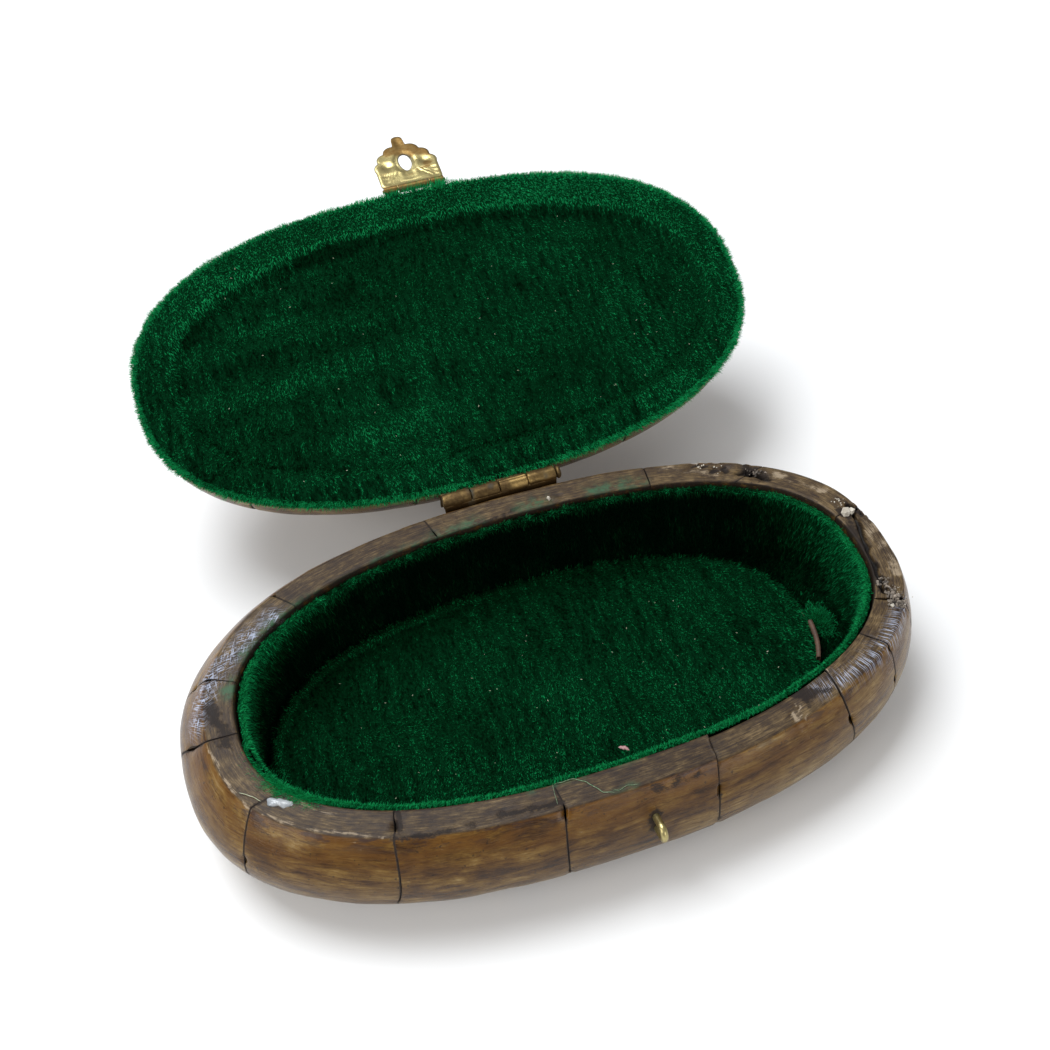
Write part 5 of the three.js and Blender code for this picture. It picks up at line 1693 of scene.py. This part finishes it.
def glue_drop():
    """A flat lump that set as it ran: a dome whose outline and top are pushed about by noise."""
    turn = np.linspace(0, 2 * math.pi, GLUE_SIDES, endpoint=False)
    lift = np.linspace(0, math.pi / 2, 14)
    middle = seen_at(GLUE_MIDDLE)
    along = seen_at(GLUE_ENDS[1]) - seen_at(GLUE_ENDS[0])
    along /= np.linalg.norm(along)
    side = np.array([-along[1], along[0], 0])
    ring = 1 + 0.28 * np.sin(turn * 2 + 1) + 0.13 * np.sin(turn * 5)
    reach = ring * np.cos(lift)[:, None]
    points = (middle + (GLUE_HALF_LENGTH * reach * np.cos(turn))[..., None] * along
              + (GLUE_HALF_WIDTH * reach * np.sin(turn))[..., None] * side)
    points[..., 2] += GLUE_RISE * np.sin(lift)[:, None] - 0.05
    points += 0.22 * lumps(points, 0.9, 91)[..., None] * [0.4, 0.4, 1]
    points[0, :, 2] = BASE_HEIGHT - 0.1
    bottom = np.broadcast_to(points[0].mean(0), (1, GLUE_SIDES, 3))
    everything = np.concatenate([bottom, points])
    flat = everything.reshape(-1, 3)
    faces = grid_faces(len(everything), GLUE_SIDES, close_columns=True)
    return make_piece("glue_drop", flat, face_out([faces], flat), dry_glue, "base", "bone")


glue_drop()


# %% Threads and lint
def strand(name, pixels, radius, lift, material, curl, seed, height=BASE_HEIGHT):
    """A thread that lies along places seen on the rim, curling a little and lifting between them."""
    corners = np.array([seen_at(p, height) for p in pixels])
    knots = np.linspace(0, 1, len(corners))
    t = np.linspace(0, 1, 90)
    path = np.stack([np.interp(t, knots, corners[:, k]) for k in range(3)], -1)
    kernel = np.hanning(13) / np.hanning(13).sum()
    path = [np.convolve(np.pad(path[:, k], 6, "edge"), kernel, "valid") for k in range(3)]
    path = np.stack(path, -1)
    path[:, :2] += curl * np.stack([lumps(path, 1.6, seed), lumps(path, 1.6, seed + 1)], -1)
    path[:, 2] += radius + lift * (0.5 + 0.5 * lumps(path, 3.0, seed + 2))
    points, faces = wire(path, radius * np.clip(3 * np.sin(np.pi * np.clip(t, 0.02, 0.98)), 0.2, 1), 6)
    return make_piece(name, points, faces, material, "base", "velvet")


LONG_THREAD = [(553, 786), (570, 779), (588, 782), (600, 790), (616, 793)]
SHORT_THREAD = [(553, 784), (554, 794), (558, 806)]
EDGE_THREAD = [(612, 792), (624, 787), (638, 786)]
PINK_LINT = [(618, 749), (622, 752), (627, 750), (630, 753)]
CORNER_THREAD = [(240, 792), (252, 797), (262, 802)]
strand("thread_long", LONG_THREAD, 0.08, 0.15, thread_green, 0.35, 21)
strand("thread_short", SHORT_THREAD, 0.045, 0.1, thread_green, 0.3, 25)
strand("thread_edge", EDGE_THREAD, 0.05, 0.1, thread_green, 0.5, 29)
strand("lint_pink", PINK_LINT, 0.3, 0.5, lint_pink, 0.6, 33, BASE_HEIGHT - 1.5)
strand("thread_corner", CORNER_THREAD, 0.07, 0.3, lint_white, 0.3, 37)


def loose_lint(name, body, surface, count, seed, is_open):
    """Pale specks of lint: short flat blades of two triangles that lie on the pile."""
    local = np.random.default_rng(seed)
    centre, normal = surface(local, count)
    run = np.cross(normal, local.normal(size=(count, 3)))
    run *= (local.uniform(0.1, 0.32, count) / np.linalg.norm(run, axis=1))[:, None]
    across = np.cross(normal, run)
    across *= (local.uniform(0.05, 0.09, count) / np.linalg.norm(across, axis=1))[:, None]
    up = centre + normal * 0.85
    points = np.stack([up - run, up + across, up + run, up - across], 1).reshape(-1, 3)
    faces = np.arange(count * 4).reshape(-1, 4)
    return make_piece(name, opened(points) if is_open else points, [faces], lint_white, body, "velvet",
                      smooth=False)


def on_lid(local, count):
    """Random places on the closed lid's cloth, with the way that is up there."""
    x, y = local.uniform(-66, 66, count), local.uniform(-32, 32, count)
    outside = inset_of(x, y) < 3
    x[outside] *= 0.6
    y[outside] *= 0.6
    z = lid_cloth_height(x, y, -inset_of(x, y))
    return np.stack([x, y, z], -1), np.tile([0.0, 0, -1], (count, 1))


def on_pad(local, count):
    """Random places on the pad, with the way that is up there."""
    x, y = local.uniform(-52, 48, count), local.uniform(-22, 24, count)
    return np.stack([x, y, pad_height(x, y)], -1), np.tile([0.0, 0, 1], (count, 1))


LINT_COUNT = 45
loose_lint("lint_on_lid", "lid", on_lid, LINT_COUNT, 41, True)
loose_lint("lint_on_pad", "base", on_pad, LINT_COUNT, 42, False)


# %% Card edge and the loose tuft at the right end
CARD_STATIONS = 26
CARD_FROM, CARD_TO = -19, -3
CORNER_TUFT, CORNER_THREADS = seen_at((820, 616), 7.5), 5200


def card_edge():
    """The end of the card, where the velvet has come away from it: a thin upright strip."""
    bearing = np.radians(np.linspace(CARD_FROM, CARD_TO, CARD_STATIONS))
    x, y = oval(bearing, 0.25, *PAD_HALF[:2])
    middle = np.stack([x + PAD_MIDDLE[0], y], -1)
    away = middle / np.linalg.norm(middle, axis=1, keepdims=True)
    low, high = pad_low[2], pad_high[2] + 0.1
    section = [(0.6, low), (0.6, high - 0.2), (0.45, high), (-0.3, high), (-0.5, low)]
    lines = [np.concatenate([middle + away * o, np.full((CARD_STATIONS, 1), z)], -1) for o, z in section]
    everything, faces = close_ends(np.stack(lines, 1), CARD_STATIONS, len(section))
    return make_piece("card_edge", everything, faces, card_brown, "base", "wood")


def loose_tuft():
    """Threads that spring from one torn corner of the velvet and fan out."""
    count, middle = CORNER_THREADS, CORNER_TUFT
    x, y = middle[:2][:, None] + rng.normal(size=(2, count)) * [[1.1], [1.8]]
    rise = 1.6 * np.exp(-((x - middle[0]) ** 2 + (y - middle[1]) ** 2) / 9)
    roots = np.stack([x, y, 5.6 + rise], -1)
    away = roots - [middle[0], middle[1], 4.5]
    normal = away / np.linalg.norm(away, axis=1, keepdims=True)
    shade = 0.42 + 0.25 * lumps(roots, 0.8, 95)
    return pile("velvet_tuft", roots, normal, normal, shade, "base", length=1.1, lean=0.1, wild=0.9)


card_edge()
loose_tuft()
print("small litter done")
